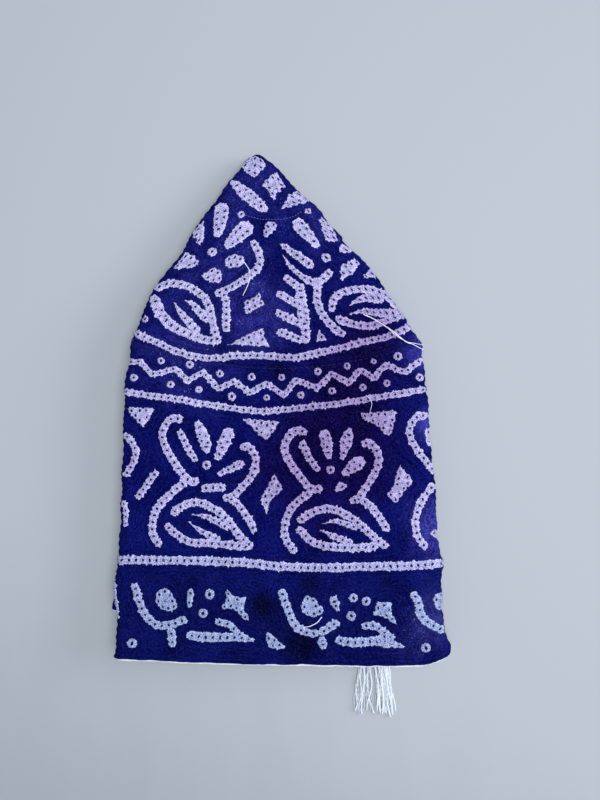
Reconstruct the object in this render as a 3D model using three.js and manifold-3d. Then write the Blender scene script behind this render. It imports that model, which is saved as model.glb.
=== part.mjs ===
// Embroidered prayer cap, folded flat and lying on its back.
//
// Two pieces of stitched cotton make the cap: a tall side wall and a round crown, sewn edge to edge.
// Folded, both sides are tucked in as pleats between the front and the back, and the crown is drawn
// up to a point. A tassel of loose thread hangs out of the mouth.
//
// Millimetres. +X is to the right, +Y runs from the mouth to the tip and +Z is up from the table.

import * as THREE from "three";
import { mergeVertices } from "three/addons/utils/BufferGeometryUtils.js";
import Module from "manifold-3d";

// Cloth
const CLOTH = 1.8;
const SEAM_GAP = 0.3;

// Heights up the middle of the front, from the rim
const SEAM_HEIGHT = 130;
const TIP_HEIGHT = 227;
const HOLLOW_END = 205;

// How far the seam and the rows below it stand higher at the folds than in the middle
const SEAM_BOW = 12;
const BOW_POWER = 1.6;

// Sections across the folded cap: height above the rim, middle and half width between the folds,
// height of the stacked layers, swell of the front and overhang of the back at the left fold
const SECTIONS = [
  { up: 0, middle: 0.9, half: 73.8, stack: 21, swell: 4, lap: 5.5 },
  { up: 22, middle: -0.3, half: 72.4, stack: 21, swell: 4.2, lap: 4.6 },
  { up: 34, middle: -0.6, half: 71.8, stack: 21, swell: 4.3, lap: 0.4 },
  { up: 63, middle: -0.9, half: 70.3, stack: 21, swell: 4.4, lap: 0 },
  { up: 110, middle: -1.9, half: 67.6, stack: 21, swell: 4.2, lap: 0 },
  { up: 130, middle: -2.1, half: 65.6, stack: 20.4, swell: 3.4, lap: 0 },
  { up: 141, middle: -2.5, half: 63.9, stack: 20, swell: 3.6, lap: 0 },
  { up: 151, middle: -3.1, half: 59.5, stack: 19.2, swell: 3.8, lap: 0 },
  { up: 161, middle: -4.2, half: 53.8, stack: 18.2, swell: 3.4, lap: 0 },
  { up: 172, middle: -5, half: 46.5, stack: 17, swell: 2.8, lap: 0 },
  { up: 182, middle: -5.6, half: 39.2, stack: 15.8, swell: 2.2, lap: 0 },
  { up: 203, middle: -8.4, half: 22.8, stack: 13, swell: 1, lap: 0 },
  { up: 214, middle: -10.1, half: 13.4, stack: 11.2, swell: 0.5, lap: 0 },
  { up: 221.5, middle: -10.7, half: 7, stack: 9.4, swell: 0.3, lap: 0 },
  { up: 225.5, middle: -11, half: 2.6, stack: 7.6, swell: 0.2, lap: 0 },
];

// Layers met going round the cap: where each starts and ends, the level it lies at, and how far its
// rim stands above the mouth line at both ends
const LAYERS = [
  { start: "left", end: "right", level: "front", riseStart: 1.2, riseEnd: -1.6, panel: true },
  { start: "right", end: "rightTuck", level: "upper", riseStart: 9, riseEnd: 5, panel: false },
  { start: "rightTuck", end: "right", level: "lower", riseStart: 5, riseEnd: 2, panel: false },
  { start: "right", end: "backLeft", level: "back", riseStart: 2, riseEnd: 20, panel: true },
  { start: "backLeft", end: "leftTuck", level: "lower", riseStart: 20, riseEnd: 10, panel: false },
  { start: "leftTuck", end: "left", level: "upper", riseStart: 10, riseEnd: 1.5, panel: false },
];
const PANEL_SHARES = [0.2, 0.4, 0.6, 0.8];
const LEAF_SHARES = [0.33, 0.67];

// Folds: where a bend starts, the shares of the free height between layers, and how a tuck dies away
const BEND = 6;
const SLOT_SHARE = 0.42;
const TUCK_STOP = 9;
const PANEL_STEPS = 3;
const LEAF_STEPS = 2;

// Soft dents of the front: place, spread across and along, and depth
const DENTS = [
  { x: -9, up: 186, wide: 7, long: 12, depth: 0.8 },
  { x: -1, up: 124, wide: 9, long: 8, depth: 0.9 },
  { x: 14, up: 32, wide: 9, long: 8, depth: 1.2 },
  { x: 9, up: 4, wide: 8, long: 9, depth: 1.3 },
];

// Rows of each piece: heights up the wall, and distances from the tip down the crown
const WALL_ROWS = [0, 6, 16, 28, 42, 60, 80, 100, 117, SEAM_HEIGHT - SEAM_GAP / 2];
const CROWN_RADIUS = TIP_HEIGHT - SEAM_HEIGHT;
const HOLLOW_RADIUS = TIP_HEIGHT - HOLLOW_END;
const CROWN_ROWS = [CROWN_RADIUS - SEAM_GAP / 2, 88, 78, 68, 58, 48, 39, 30, HOLLOW_RADIUS, 14, 8, 3.5];

// Tassel of thread: its head inside the mouth and the locks that lie out on the table
const TASSEL_X = 41;
const HEAD_UP = 11;
const HEAD_HEIGHT = 4.5;
const HEAD_RADIUS = 2.3;
const LOCK_RADIUS = 1.15;
const LOCK_SIDES = 6;
const LOCK_STEPS = 10;
const LOCK_HEIGHTS = [4.3, 3.4, 1.5, 1.25];
const LOCK_UPS = [2, -8, -19];
const LOCKS = [
  { rim: -6.5, end: -8.6, reach: 29 },
  { rim: -4.4, end: -4.6, reach: 28 },
  { rim: -2, end: -1.4, reach: 28.5 },
  { rim: 0.8, end: 1.6, reach: 27.5 },
  { rim: 2.6, end: 4.6, reach: 29.5 },
  { rim: 4.4, end: 7.4, reach: 30 },
  { rim: 5.8, end: 10.6, reach: 26.5 },
];

const wasm = await Module();
wasm.setup();

/** Value of one column of the section table at a height, by a smooth curve through its rows. */
function column(name, up) {
  const last = SECTIONS.length - 1;
  const next = Math.min(Math.max(SECTIONS.filter((row) => row.up <= up).length, 1), last);
  const slope = (index) => {
    const low = SECTIONS[Math.max(index - 1, 0)];
    const high = SECTIONS[Math.min(index + 1, last)];
    return (high[name] - low[name]) / (high.up - low.up);
  };
  const a = SECTIONS[next - 1];
  const b = SECTIONS[next];
  const span = b.up - a.up;
  const s = Math.min(Math.max((up - a.up) / span, 0), 1);
  const ease = (3 - 2 * s) * s * s;
  const bend = s * (1 - s) * span * ((1 - s) * slope(next - 1) - s * slope(next));
  return a[name] * (1 - ease) + b[name] * ease + bend;
}

/** Fold lines and layer levels of the section at a height, of the cloth's outside or its inside. */
function sectionAt(up, inset) {
  const middle = column("middle", up);
  const half = column("half", up);
  const stack = column("stack", up);
  const tuck = (half * half) / (half + TUCK_STOP);
  const slot = SLOT_SHARE * (stack - 4 * CLOTH);
  return {
    half,
    middle,
    swell: column("swell", up),
    left: middle - half + inset,
    right: middle + half - inset,
    backLeft: middle - half - Math.max(column("lap", up), 0) + inset,
    leftTuck: middle - half + tuck + inset,
    rightTuck: middle + half - tuck - inset,
    front: stack - inset,
    upper: stack - 2 * CLOTH - slot + inset,
    lower: 2 * CLOTH + slot - inset,
    back: inset,
  };
}

/** Control points round one section: x, z, the rise of the rim there and the steps to the next. */
function sectionPolygon(up, inset) {
  const section = sectionAt(up, inset);
  return LAYERS.flatMap((layer) => {
    const start = section[layer.start];
    const end = section[layer.end];
    const bend = Math.min(BEND / Math.abs(end - start), 0.2);
    const shares = layer.panel ? PANEL_SHARES : LEAF_SHARES;
    return [0, bend, ...shares.map((share) => bend + share * (1 - 2 * bend)), 1 - bend, 1].map((share) => {
      const x = start + share * (end - start);
      const across = (x - section.middle) / section.half;
      const swell = layer.level === "front" ? section.swell * (1 - across * across) : 0;
      return {
        x,
        z: section[layer.level] + swell,
        rise: layer.riseStart + share * (layer.riseEnd - layer.riseStart),
        steps: layer.level === "front" && share < 1 ? PANEL_STEPS : LEAF_STEPS,
        front: layer.level === "front",
      };
    });
  });
}

/** Points of the smooth closed loop that a section's control points pull into shape. */
function sectionLoop(up, inset) {
  const polygon = sectionPolygon(up, inset);
  const at = (index) => polygon[(index + polygon.length) % polygon.length];
  return polygon.flatMap((point, index) => {
    const near = [at(index - 1), point, at(index + 1), at(index + 2)];
    return Array.from({ length: point.steps }, (_, step) => {
      const s = step / point.steps;
      const weights = [
        (1 - s) ** 3 / 6,
        (3 * s ** 3 - 6 * s ** 2 + 4) / 6,
        (-3 * s ** 3 + 3 * s ** 2 + 3 * s + 1) / 6,
        s ** 3 / 6,
      ];
      const blend = (key) => near.reduce((sum, control, k) => sum + weights[k] * control[key], 0);
      return { x: blend("x"), z: blend("z"), rise: blend("rise"), front: point.front };
    });
  });
}

/** Depth of the soft dents at a place on the front. */
function dentAt(x, up) {
  const dent = ({ x: dx, up: du, wide, long, depth }) =>
    depth * Math.exp(-(((x - dx) / wide) ** 2) - ((up - du) / long) ** 2);
  return DENTS.reduce((sum, row) => sum + dent(row), 0);
}

/**
 * One row of cloth as points in space. Every point of the row takes its own height, because rows bow
 * up towards the folds, and then its place on the section at that height.
 */
function clothRow(level, inset, heightOf) {
  const section = sectionAt(level, inset);
  const flat = sectionLoop(level, inset);
  return flat.map((point, index) => {
    const across = (point.x - section.middle) / section.half;
    const up = heightOf(across * across, point.rise);
    const { x, z, front } = sectionLoop(up, inset)[index];
    return new THREE.Vector3(x, up, front ? z - dentAt(x, up) : z);
  });
}

/** Row of the wall: it follows the rim at the bottom and the bowed seam at the top. */
function wallRow(height, inset) {
  const share = height / SEAM_HEIGHT;
  const bow = SEAM_BOW * share ** BOW_POWER;
  return clothRow(height, inset, (across, rise) => height + rise * (1 - share) + bow * across);
}

/** Row of the crown: all of it lies about as far from the tip, on every layer. */
function crownRow(radius, inset) {
  const bow = SEAM_BOW / CROWN_RADIUS;
  return clothRow(TIP_HEIGHT - radius, inset, (across) => TIP_HEIGHT - radius * (1 - bow * across));
}

/** Collects the triangles of one closed skin. */
class Skin {
  constructor() {
    this.corners = [];
  }

  triangle(a, b, c) {
    this.corners.push(a, b, c);
  }

  /** Band between two rows of equal length, facing left of the way from the first to the second. */
  band(from, to) {
    from.forEach((a, index) => {
      const next = (index + 1) % from.length;
      this.triangle(a, from[next], to[next]);
      this.triangle(a, to[next], to[index]);
    });
  }

  /** Bands through a list of rows. */
  bands(rows) {
    rows.slice(1).forEach((row, index) => this.band(rows[index], row));
  }

  /** Fan from a row to a point. */
  fan(row, point) {
    row.forEach((a, index) => this.triangle(a, row[(index + 1) % row.length], point));
  }

  /** Lid over a row that faces the mouth. A slight wave keeps every point of a straight run in it. */
  lid(row) {
    const outline = row.map((point, index) => new THREE.Vector2(point.x, point.z + 0.002 * Math.sin(index)));
    THREE.ShapeUtils.triangulateShape(outline, []).forEach(([a, b, c]) => {
      const turn = outline[b].clone().sub(outline[a]).cross(outline[c].clone().sub(outline[a]));
      const [second, third] = turn > 0 ? [b, c] : [c, b];
      this.triangle(row[a], row[second], row[third]);
    });
  }

  geometry() {
    return mergeVertices(new THREE.BufferGeometry().setFromPoints(this.corners), 1e-4);
  }
}

/** Side wall: outside and inside skins, joined at the rim and at the seam. */
function sideWall() {
  const outside = WALL_ROWS.map((height) => wallRow(height, 0));
  const inside = WALL_ROWS.map((height) => wallRow(height, CLOTH));
  const skin = new Skin();
  skin.bands(outside);
  skin.bands(inside.slice().reverse());
  skin.band(inside[0], outside[0]);
  skin.band(outside.at(-1), inside.at(-1));
  return skin.geometry();
}

/** Crown: outside skin up to the tip, and an inside skin that ends where the layers close up. */
function crown() {
  const outside = CROWN_ROWS.map((radius) => crownRow(radius, 0));
  const hollow = CROWN_ROWS.filter((radius) => radius >= HOLLOW_RADIUS);
  const inside = hollow.map((radius) => crownRow(radius, CLOTH));
  const topRow = SECTIONS.at(-1);
  const skin = new Skin();
  skin.bands(outside);
  skin.fan(outside.at(-1), new THREE.Vector3(topRow.middle, TIP_HEIGHT, topRow.stack / 2));
  skin.bands(inside.slice().reverse());
  skin.band(inside[0], outside[0]);
  skin.lid(inside.at(-1));
  return skin.geometry();
}

/** Solid of a closed geometry. */
function toSolid(geometry) {
  const bare = geometry.clone();
  bare.deleteAttribute("normal");
  bare.deleteAttribute("uv");
  const merged = mergeVertices(bare, 1e-4);
  return new wasm.Manifold(
    new wasm.Mesh({
      numProp: 3,
      vertProperties: new Float32Array(merged.attributes.position.array),
      triVerts: new Uint32Array(merged.index.array),
    }),
  );
}

/** Geometry of a solid. */
function toGeometry(solid) {
  const { vertProperties, triVerts } = solid.getMesh();
  const geometry = new THREE.BufferGeometry();
  geometry.setAttribute("position", new THREE.BufferAttribute(vertProperties, 3));
  geometry.setIndex(new THREE.BufferAttribute(triVerts, 1));
  return geometry;
}

/** One lock of the tassel, from the head out over the rim and down to the table. */
function lock({ rim, end, reach }) {
  const outline = Array.from({ length: LOCK_SIDES }, (_, side) => {
    const angle = (side / LOCK_SIDES) * 2 * Math.PI;
    return new THREE.Vector2(LOCK_RADIUS * Math.cos(angle), LOCK_RADIUS * Math.sin(angle));
  });
  const ups = [...LOCK_UPS, -reach];
  const path = new THREE.CatmullRomCurve3([
    new THREE.Vector3(TASSEL_X, HEAD_UP, HEAD_HEIGHT),
    ...ups.map((up, index) => {
      const spread = THREE.MathUtils.lerp(rim, end, index / (ups.length - 1));
      return new THREE.Vector3(TASSEL_X + spread, up, LOCK_HEIGHTS[index]);
    }),
  ]);
  return new THREE.ExtrudeGeometry(new THREE.Shape(outline), {
    steps: LOCK_STEPS,
    extrudePath: path,
    bevelEnabled: false,
  });
}

/** Tassel: the locks fused to a round head. */
function threadTassel() {
  const head = new THREE.SphereGeometry(HEAD_RADIUS, 10, 8);
  head.translate(TASSEL_X, HEAD_UP, HEAD_HEIGHT);
  return toGeometry(LOCKS.reduce((solid, row) => solid.add(toSolid(lock(row))), toSolid(head)));
}

/** Named mesh with its own matt finish. */
function piece(name, geometry, color) {
  const finish = new THREE.MeshStandardMaterial({ color, roughness: 0.9, metalness: 0 });
  const mesh = new THREE.Mesh(geometry, finish);
  mesh.name = name;
  return mesh;
}

const cap = new THREE.Group();
cap.add(
  piece("side_wall", sideWall(), 0x1f1a6e),
  piece("crown", crown(), 0x241c78),
  piece("thread_tassel", threadTassel(), 0xe4e4ea),
);

// The origin is on the table, under the middle of the whole
const box = new THREE.Box3().setFromObject(cap);
const middle = box.getCenter(new THREE.Vector3());
cap.position.set(-middle.x, -middle.y, -box.min.z);

export default cap;
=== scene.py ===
"""Looks of an embroidered prayer cap that is folded flat and lies on its back.

The cap is one surface of two parameters: a turn round its folded section and a height above the rim.
The cloth, the eyelet embroidery, the stitching and the loose threads are all worked out on that surface.
Sizes are millimetres in the tables and metres in the meshes.
"""

import logging
import math
from collections.abc import Sequence
from dataclasses import astuple, dataclass, field, replace
from enum import Enum

import bpy
import numpy as np
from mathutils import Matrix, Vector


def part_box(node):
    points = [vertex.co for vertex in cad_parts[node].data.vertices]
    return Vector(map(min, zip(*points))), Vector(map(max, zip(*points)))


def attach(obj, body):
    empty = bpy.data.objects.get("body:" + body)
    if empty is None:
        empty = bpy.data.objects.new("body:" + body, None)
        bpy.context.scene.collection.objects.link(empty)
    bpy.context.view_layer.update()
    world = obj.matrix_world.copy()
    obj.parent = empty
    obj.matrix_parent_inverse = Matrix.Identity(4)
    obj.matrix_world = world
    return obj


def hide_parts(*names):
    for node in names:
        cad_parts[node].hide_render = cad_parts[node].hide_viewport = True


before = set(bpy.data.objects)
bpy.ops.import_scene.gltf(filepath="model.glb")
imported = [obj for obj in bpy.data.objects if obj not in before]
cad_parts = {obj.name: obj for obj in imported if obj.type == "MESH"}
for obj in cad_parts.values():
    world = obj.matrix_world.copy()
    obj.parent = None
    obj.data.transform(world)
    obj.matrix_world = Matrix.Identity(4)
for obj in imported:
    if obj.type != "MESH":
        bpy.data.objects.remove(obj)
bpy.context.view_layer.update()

MM = 0.001
BODY = "root"
# Stitched lines of the ground: how far the first is from a motif's edge, and how far apart they are
FIRST_LINE = 0.62
LINE_GAP = 1.75
# Short names of types
Array = np.ndarray
Spot = tuple[float, float]
Colour = tuple[float, float, float]
Piece = bpy.types.Object
Material = bpy.types.Material
Socket = bpy.types.NodeSocket
Inputs = dict[str | int, object]
log = logging.getLogger("prayer_cap")


@dataclass(frozen=True)
class Section:
    """A section of the folded cap: height above the rim, middle, half width, levels, slip of the back."""

    up: float
    middle: float
    half: float
    stack: float
    swell: float
    lap: float = 0.0


SECTIONS = (
    Section(0, 0.9, 73.8, 21, 4, 5.5),
    Section(22, -0.3, 72.4, 21, 4.2, 4.6),
    Section(34, -0.6, 71.8, 21, 4.3, 0.4),
    Section(63, -0.9, 70.3, 21, 4.4),
    Section(110, -1.9, 67.6, 21, 4.2),
    Section(130, -2.1, 65.6, 20.4, 3.4),
    Section(141, -2.5, 63.9, 20, 3.6),
    Section(151, -3.1, 59.5, 19.2, 3.8),
    Section(161, -4.2, 53.8, 18.2, 3.4),
    Section(172, -5, 46.5, 17, 2.8),
    Section(182, -5.6, 39.2, 15.8, 2.2),
    Section(203, -8.4, 22.8, 13, 1),
    Section(214, -10.1, 13.4, 11.2, 0.5),
    Section(221.5, -10.7, 7, 9.4, 0.3),
    Section(225.5, -11, 2.6, 7.6, 0.2),
    Section(226.7, -11, 1.1, 6.8, 0.1),
)
PANEL_SHARES = (0.2, 0.4, 0.6, 0.8)
LEAF_SHARES = (0.33, 0.67)


@dataclass(frozen=True)
class Layer:
    """One layer of the fold: its fold lines, its level, and the rise of its rim at both ends."""

    start: str
    end: str
    level: str
    rise_start: float
    rise_end: float
    shares: tuple[float, ...]


LAYERS = (
    Layer("left", "right", "front", 1.2, -1.6, PANEL_SHARES),
    Layer("right", "right_tuck", "upper", 9, 5, LEAF_SHARES),
    Layer("right_tuck", "right", "lower", 5, 2, LEAF_SHARES),
    Layer("right", "back_left", "back", 2, 20, PANEL_SHARES),
    Layer("back_left", "left_tuck", "lower", 20, 10, LEAF_SHARES),
    Layer("left_tuck", "left", "upper", 10, 1.5, LEAF_SHARES),
)
LINES = ("left", "right", "back_left", "left_tuck", "right_tuck", "front", "upper", "lower", "back")


@dataclass(frozen=True)
class Dent:
    """A soft dent or a narrow pucker of the front: place, spread along and across its length, depth."""

    x: float
    up: float
    wide: float
    long: float
    depth: float
    lean: float = 0.0


DENTS = (
    Dent(-9, 186, 7, 12, 0.8),
    Dent(-1, 124, 9, 8, 0.9),
    Dent(14, 32, 9, 8, 1.0),
    Dent(9, 4, 8, 9, 1.2),
    Dent(-9, 191, 1.5, 8, 1.1, 4),
    Dent(5, 178, 1.9, 10, 0.9, -8),
    Dent(-1.6, 129, 1.7, 6, 1.2, -6),
    Dent(-8, 26.4, 1.2, 5.5, 1.4, -73),
    Dent(-2, 24.5, 1.2, 4, 0.8, 15),
    Dent(12.9, 35.6, 2.2, 5.5, 1.1, -10),
    Dent(9.4, 8, 2.0, 7, 1.5, -5),
    Dent(45.6, 36.5, 2.4, 6, 1.0, 5),
    Dent(17.2, 52, 2.0, 6, 0.8, 8),
    Dent(52.2, 54, 2.2, 6, 0.8, -12),
    Dent(-13.4, 80, 1.8, 7, 0.7, 20),
    Dent(-30, 24, 2.6, 12, 0.5, 70),
    Dent(-52, 96, 2.2, 8, 0.8, 40),
    Dent(34, 100, 2.0, 8, 0.7, -60),
)


@dataclass(frozen=True)
class Nick:
    """A small step of a fold's edge: its height, how far out it goes, and its spread up the edge."""

    up: float
    out: float
    spread: float


LEFT_NICKS = (Nick(191, 1.1, 5), Nick(180, -1.3, 5), Nick(165, 1.4, 6), Nick(121, 1.1, 6),
              Nick(34, 1.3, 11), Nick(1, 1.5, 5))
RIGHT_NICKS = (Nick(217, 0.9, 8), Nick(202, 0.8, 4), Nick(194, -0.9, 2.5), Nick(184.5, -3.0, 3.2),
               Nick(157, -1.5, 5), Nick(148, -1.8, 2.5), Nick(139.5, 1.5, 3), Nick(99, -1.7, 3),
               Nick(55.7, -1.8, 2.4), Nick(43, 1.0, 8), Nick(24.5, -1.4, 2.6), Nick(5, 1.7, 5))


@dataclass(frozen=True)
class Fade:
    """A soft cloud of painted light and shade on the cloth: place, spread and strength."""

    x: float
    up: float
    spread: float
    strength: float


# Painted light: lighter patches, strongest where light falls on the right fold; negative strengths are
# painted shade in the creases
LIGHT_AND_SHADE = (Fade(-24, 172, 36, 0.42), Fade(-44, 128, 24, 0.4), Fade(63, 136, 9, 1.3), Fade(68, 103, 8, 1.5),
           Fade(68, 60, 14, 1.2), Fade(70, 22, 12, 0.7), Fade(22, 190, 16, 0.35), Fade(-10, 208, 18, 0.3),
           Fade(9.4, 8, 7, -1.0), Fade(-8, 26.4, 5, -0.9), Fade(13, 36, 6, -0.7), Fade(46, 36, 6, -0.6),
           Fade(17, 52, 7, -0.5), Fade(-1.6, 129, 6, -0.8), Fade(-9, 191, 5, -0.8), Fade(5, 178, 7, -0.6),
           Fade(52, 54, 6, -0.4), Fade(2, 16, 14, -0.4), Fade(-13, 80, 7, -0.4),
           Fade(-6, 150, 14, 0.35), Fade(58, 10, 14, 0.3))
# Painted shade: violet darkening over the middle and right of the front
VIOLET_SHADE = (Fade(26, 106, 24, 1.0), Fade(12, 82, 26, 0.7), Fade(36, 132, 22, 0.65), Fade(-2, 128, 8, 0.4),
          Fade(42, 84, 18, 0.4), Fade(17, 56, 12, 0.35), Fade(4, 160, 22, 0.2), Fade(-16, 142, 22, 0.2),
          Fade(-14, 86, 18, 0.25), Fade(42, 147, 15, 0.5))
# Painted cool cast of the light towards the rim
COOL = (Fade(-54, 14, 36, 1.0), Fade(-4, 14, 34, 0.75), Fade(44, 14, 34, 0.75), Fade(72, 16, 20, 0.7))
# Share of the clouds on the back
BACK_CLOUD = 0.35


def cloud(fades: Sequence[Fade], x: Array, up: Array) -> Array:
    """Sum of the fades, each a Gaussian of the distance from its place."""
    return sum(fade.strength * np.exp(-((x - fade.x) ** 2 + (up - fade.up) ** 2) / fade.spread ** 2)
               for fade in fades)


class Face(Enum):
    """Side of the folded cap that a motif is worked on."""

    FRONT = "front"
    BACK = "back"


def smooth_step(value: Array, low: float, high: float) -> Array:
    """Eases from 0 at low to 1 at high by the cubic 3s^2 - 2s^3."""
    share = np.clip((value - low) / (high - low), 0, 1)
    return share * share * (3 - 2 * share)


def unit(ways: Array) -> Array:
    """Directions, each divided by its length."""
    return ways / np.linalg.norm(ways, axis=-1, keepdims=True)


@dataclass
class FoldedShape:
    """The folded cap as a surface: a turn round the section, in control spans, and a height.

    A section is the closed cubic B-spline of control points set along its six layers. The rows of the
    cloth bow up towards the folds by a parabola, and on the crown they lie equally far from the tip.
    """

    cloth: float = 1.8
    seam_height: float = 130.0
    tip_height: float = 227.0
    hollow_end: float = 205.0
    seam_bow: float = 12.0
    bow_power: float = 1.6
    bend: float = 6.0
    most_bend: float = 0.2
    slot_share: float = 0.42
    tuck_stop: float = 9.0
    back_lift: float = 0.65
    back_share: float = 0.94
    corner_rise: float = 3.6
    edge_wave: float = 0.34
    edge_ripple: float = 0.24
    table_rows: int = 300
    table_columns: int = 401
    origin: Array = field(default_factory=lambda: np.zeros(3))

    def __post_init__(self) -> None:
        """Lays the control points of all layers out as arrays."""
        keys, rows = [], []
        for layer in LAYERS:
            lines = [LINES.index(name) for name in (layer.start, layer.end, layer.level)]
            shares = [(0, 0), (0, 1), *((s, 1 - 2 * s) for s in layer.shares), (1, -1), (1, 0)]
            keys += [lines] * len(shares)
            rows += [(*share, layer.rise_start, layer.rise_end) for share in shares]
        self.keys, self.spans = np.array(keys), len(keys)
        self.base, self.slide, self.rise_start, self.rise_end = np.array(rows, float).T
        panel = len(PANEL_SHARES) + 4
        leaf = len(LEAF_SHARES) + 4
        self.front_turns = (-0.5, panel - 0.5)
        self.back_turns = (panel + 2 * leaf - 0.5, 2 * panel + 2 * leaf - 0.5)
        self.table = {name: np.array([getattr(row, name) for row in SECTIONS], float)
                      for name in Section.__dataclass_fields__}
        self.turn_tables = {face: self.turn_table(face) for face in Face}

    def column(self, name: str, up: Array) -> Array:
        """Value of one column of the section table, by a cubic through its rows with central slopes.

        Args:
            name: Column of the table.
            up: Heights above the rim.

        Returns:
            Its value at each height.
        """
        ups, values = self.table["up"], self.table[name]
        low = np.maximum(np.arange(len(ups)) - 1, 0)
        high = np.minimum(np.arange(len(ups)) + 1, len(ups) - 1)
        slopes = (values[high] - values[low]) / (ups[high] - ups[low])
        after = np.clip(np.searchsorted(ups, up, side="right"), 1, len(ups) - 1)
        span = ups[after] - ups[after - 1]
        s = np.clip((up - ups[after - 1]) / span, 0, 1)
        ease = (3 - 2 * s) * s * s
        bend = s * (1 - s) * span * ((1 - s) * slopes[after - 1] - s * slopes[after])
        return values[after - 1] * (1 - ease) + values[after] * ease + bend

    def share_of(self, x: Array, up: Array) -> Array:
        """Share of the half width at a place, from -1 on the left fold to 1 on the right one."""
        return (x - self.column("middle", up)) / self.column("half", up)

    def centred(self, turn: Array) -> Array:
        """Turns counted from the left fold, at most half a round either way."""
        return (turn + self.spans / 2) % self.spans - self.spans / 2

    def lines(self, up: Array, inset: float) -> Array:
        """Fold lines and layer levels at each height, in the order of LINES.

        Args:
            up: Heights above the rim.
            inset: Depth below the outside of the cloth.

        Returns:
            One row for each line.
        """
        middle, half = self.column("middle", up), self.column("half", up)
        stack = self.column("stack", up)
        tuck = half * half / (half + self.tuck_stop)
        slot = self.slot_share * (stack - 4 * self.cloth)
        lap = np.maximum(self.column("lap", up), 0)
        return np.stack((
            middle - half + inset,
            middle + half - inset,
            middle - half - lap + inset,
            middle - half + tuck + inset,
            middle + half - tuck - inset,
            stack - inset,
            stack - 2 * self.cloth - slot + inset,
            2 * self.cloth + slot - inset,
            np.full_like(up, inset),
        ))

    def place(self, turn: Array, up: Array, inset: float = 0.0) -> Array:
        """Across, height and rim rise of the section's B-spline at a turn.

        Args:
            turn: Turns round the section, in control spans from the left fold.
            up: Heights above the rim.
            inset: Depth below the outside of the cloth.

        Returns:
            Three rows, x, z and the rise, in front of the given shape.
        """
        turn, up = np.broadcast_arrays(np.asarray(turn, float), np.asarray(up, float))
        shape, turn, up = turn.shape, turn.ravel(), up.ravel()
        lines = self.lines(up, inset)
        middle, half, swell = (self.column(name, up) for name in ("middle", "half", "swell"))
        index = np.floor(turn).astype(int)
        s = turn - index
        weights = ((1 - s) ** 3 / 6, (3 * s ** 3 - 6 * s ** 2 + 4) / 6,
                   (-3 * s ** 3 + 3 * s ** 2 + 3 * s + 1) / 6, s ** 3 / 6)
        each = np.arange(len(turn))
        total = np.zeros((3, len(turn)))
        for step, weight in enumerate(weights):
            control = (index + step - 1) % self.spans
            start, end, level = (lines[key, each] for key in self.keys[control].T)
            bend = np.minimum(self.bend / np.abs(end - start), self.most_bend)
            share = self.base[control] + self.slide[control] * bend
            x = start + share * (end - start)
            front = self.keys[control, 2] == LINES.index("front")
            z = level + front * swell * (1 - ((x - middle) / half) ** 2)
            rise_start, rise_end = self.rise_start[control], self.rise_end[control]
            total += weight * np.stack((x, z, rise_start + share * (rise_end - rise_start)))
        return total.reshape(3, *shape)

    def up_of(self, turn: Array, level: Array) -> Array:
        """Height of the cloth's row at a turn.

        On the wall it is the level plus the rim's rise, which dies away at the seam, plus the bow. On
        the crown it is the tip's height less the row's distance from the tip, shortened by the bow.

        Args:
            turn: Turns round the section.
            level: Rows of the cloth, by their height up the middle of the front.

        Returns:
            Heights above the rim.
        """
        x, _, rise = self.place(turn, level)
        signed = self.share_of(x, level)
        across = signed ** 2
        share = np.clip(level / self.seam_height, 0, 1)
        near_front = smooth_step(-np.abs(self.centred(turn) - sum(self.front_turns) / 2), -5.5, -3.5)
        rise = rise + self.corner_rise * (smooth_step(signed, 0.80, 1.02) * near_front)
        wall = level + rise * (1 - share) + self.seam_bow * share ** self.bow_power * across
        radius = self.tip_height - level
        crown_radius = self.tip_height - self.seam_height
        crown = self.tip_height - radius * (1 - self.seam_bow / crown_radius * across)
        return np.where(level < self.seam_height, wall, crown)

    def level_at(self, turn: Array, up: Array) -> Array:
        """Row of the cloth at a turn and height, by a few rounds of correcting a guess."""
        level = np.array(up, float)
        for _ in range(6):
            level = level + up - self.up_of(turn, level)
        return level

    def behind(self, x: Array, up: Array) -> tuple[Array, Array]:
        """Place on the back with the same row and the same share of the width, counted the other way.

        Args:
            x: Across on the front.
            up: Heights on the front.

        Returns:
            Turns and heights on the back.
        """
        share = np.clip(self.share_of(x, up), -1, 1)
        level = self.level_at(self.turn_at(x, up), up)
        back_up = np.array(up, float)
        for _ in range(4):
            back_x = self.column("middle", back_up) - share * self.back_share * self.column("half", back_up)
            turn = self.turn_at(back_x, back_up, Face.BACK)
            back_up = self.up_of(turn, level)
        return turn, back_up

    def ahead(self, turn: Array, up: Array) -> tuple[Array, Array]:
        """Place on the front that belongs to a place on the back, the other way round.

        Args:
            turn: Turns on the back.
            up: Heights on the back.

        Returns:
            Across and heights on the front.
        """
        share = np.clip(-self.share_of(self.place(turn, up)[0], up) / self.back_share, -1, 1)
        level = self.level_at(turn, up)
        front_up = np.array(level, float)
        for _ in range(4):
            front_x = self.column("middle", front_up) + share * self.column("half", front_up)
            front_up = self.up_of(self.turn_at(front_x, front_up), level)
        return front_x, front_up

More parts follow.
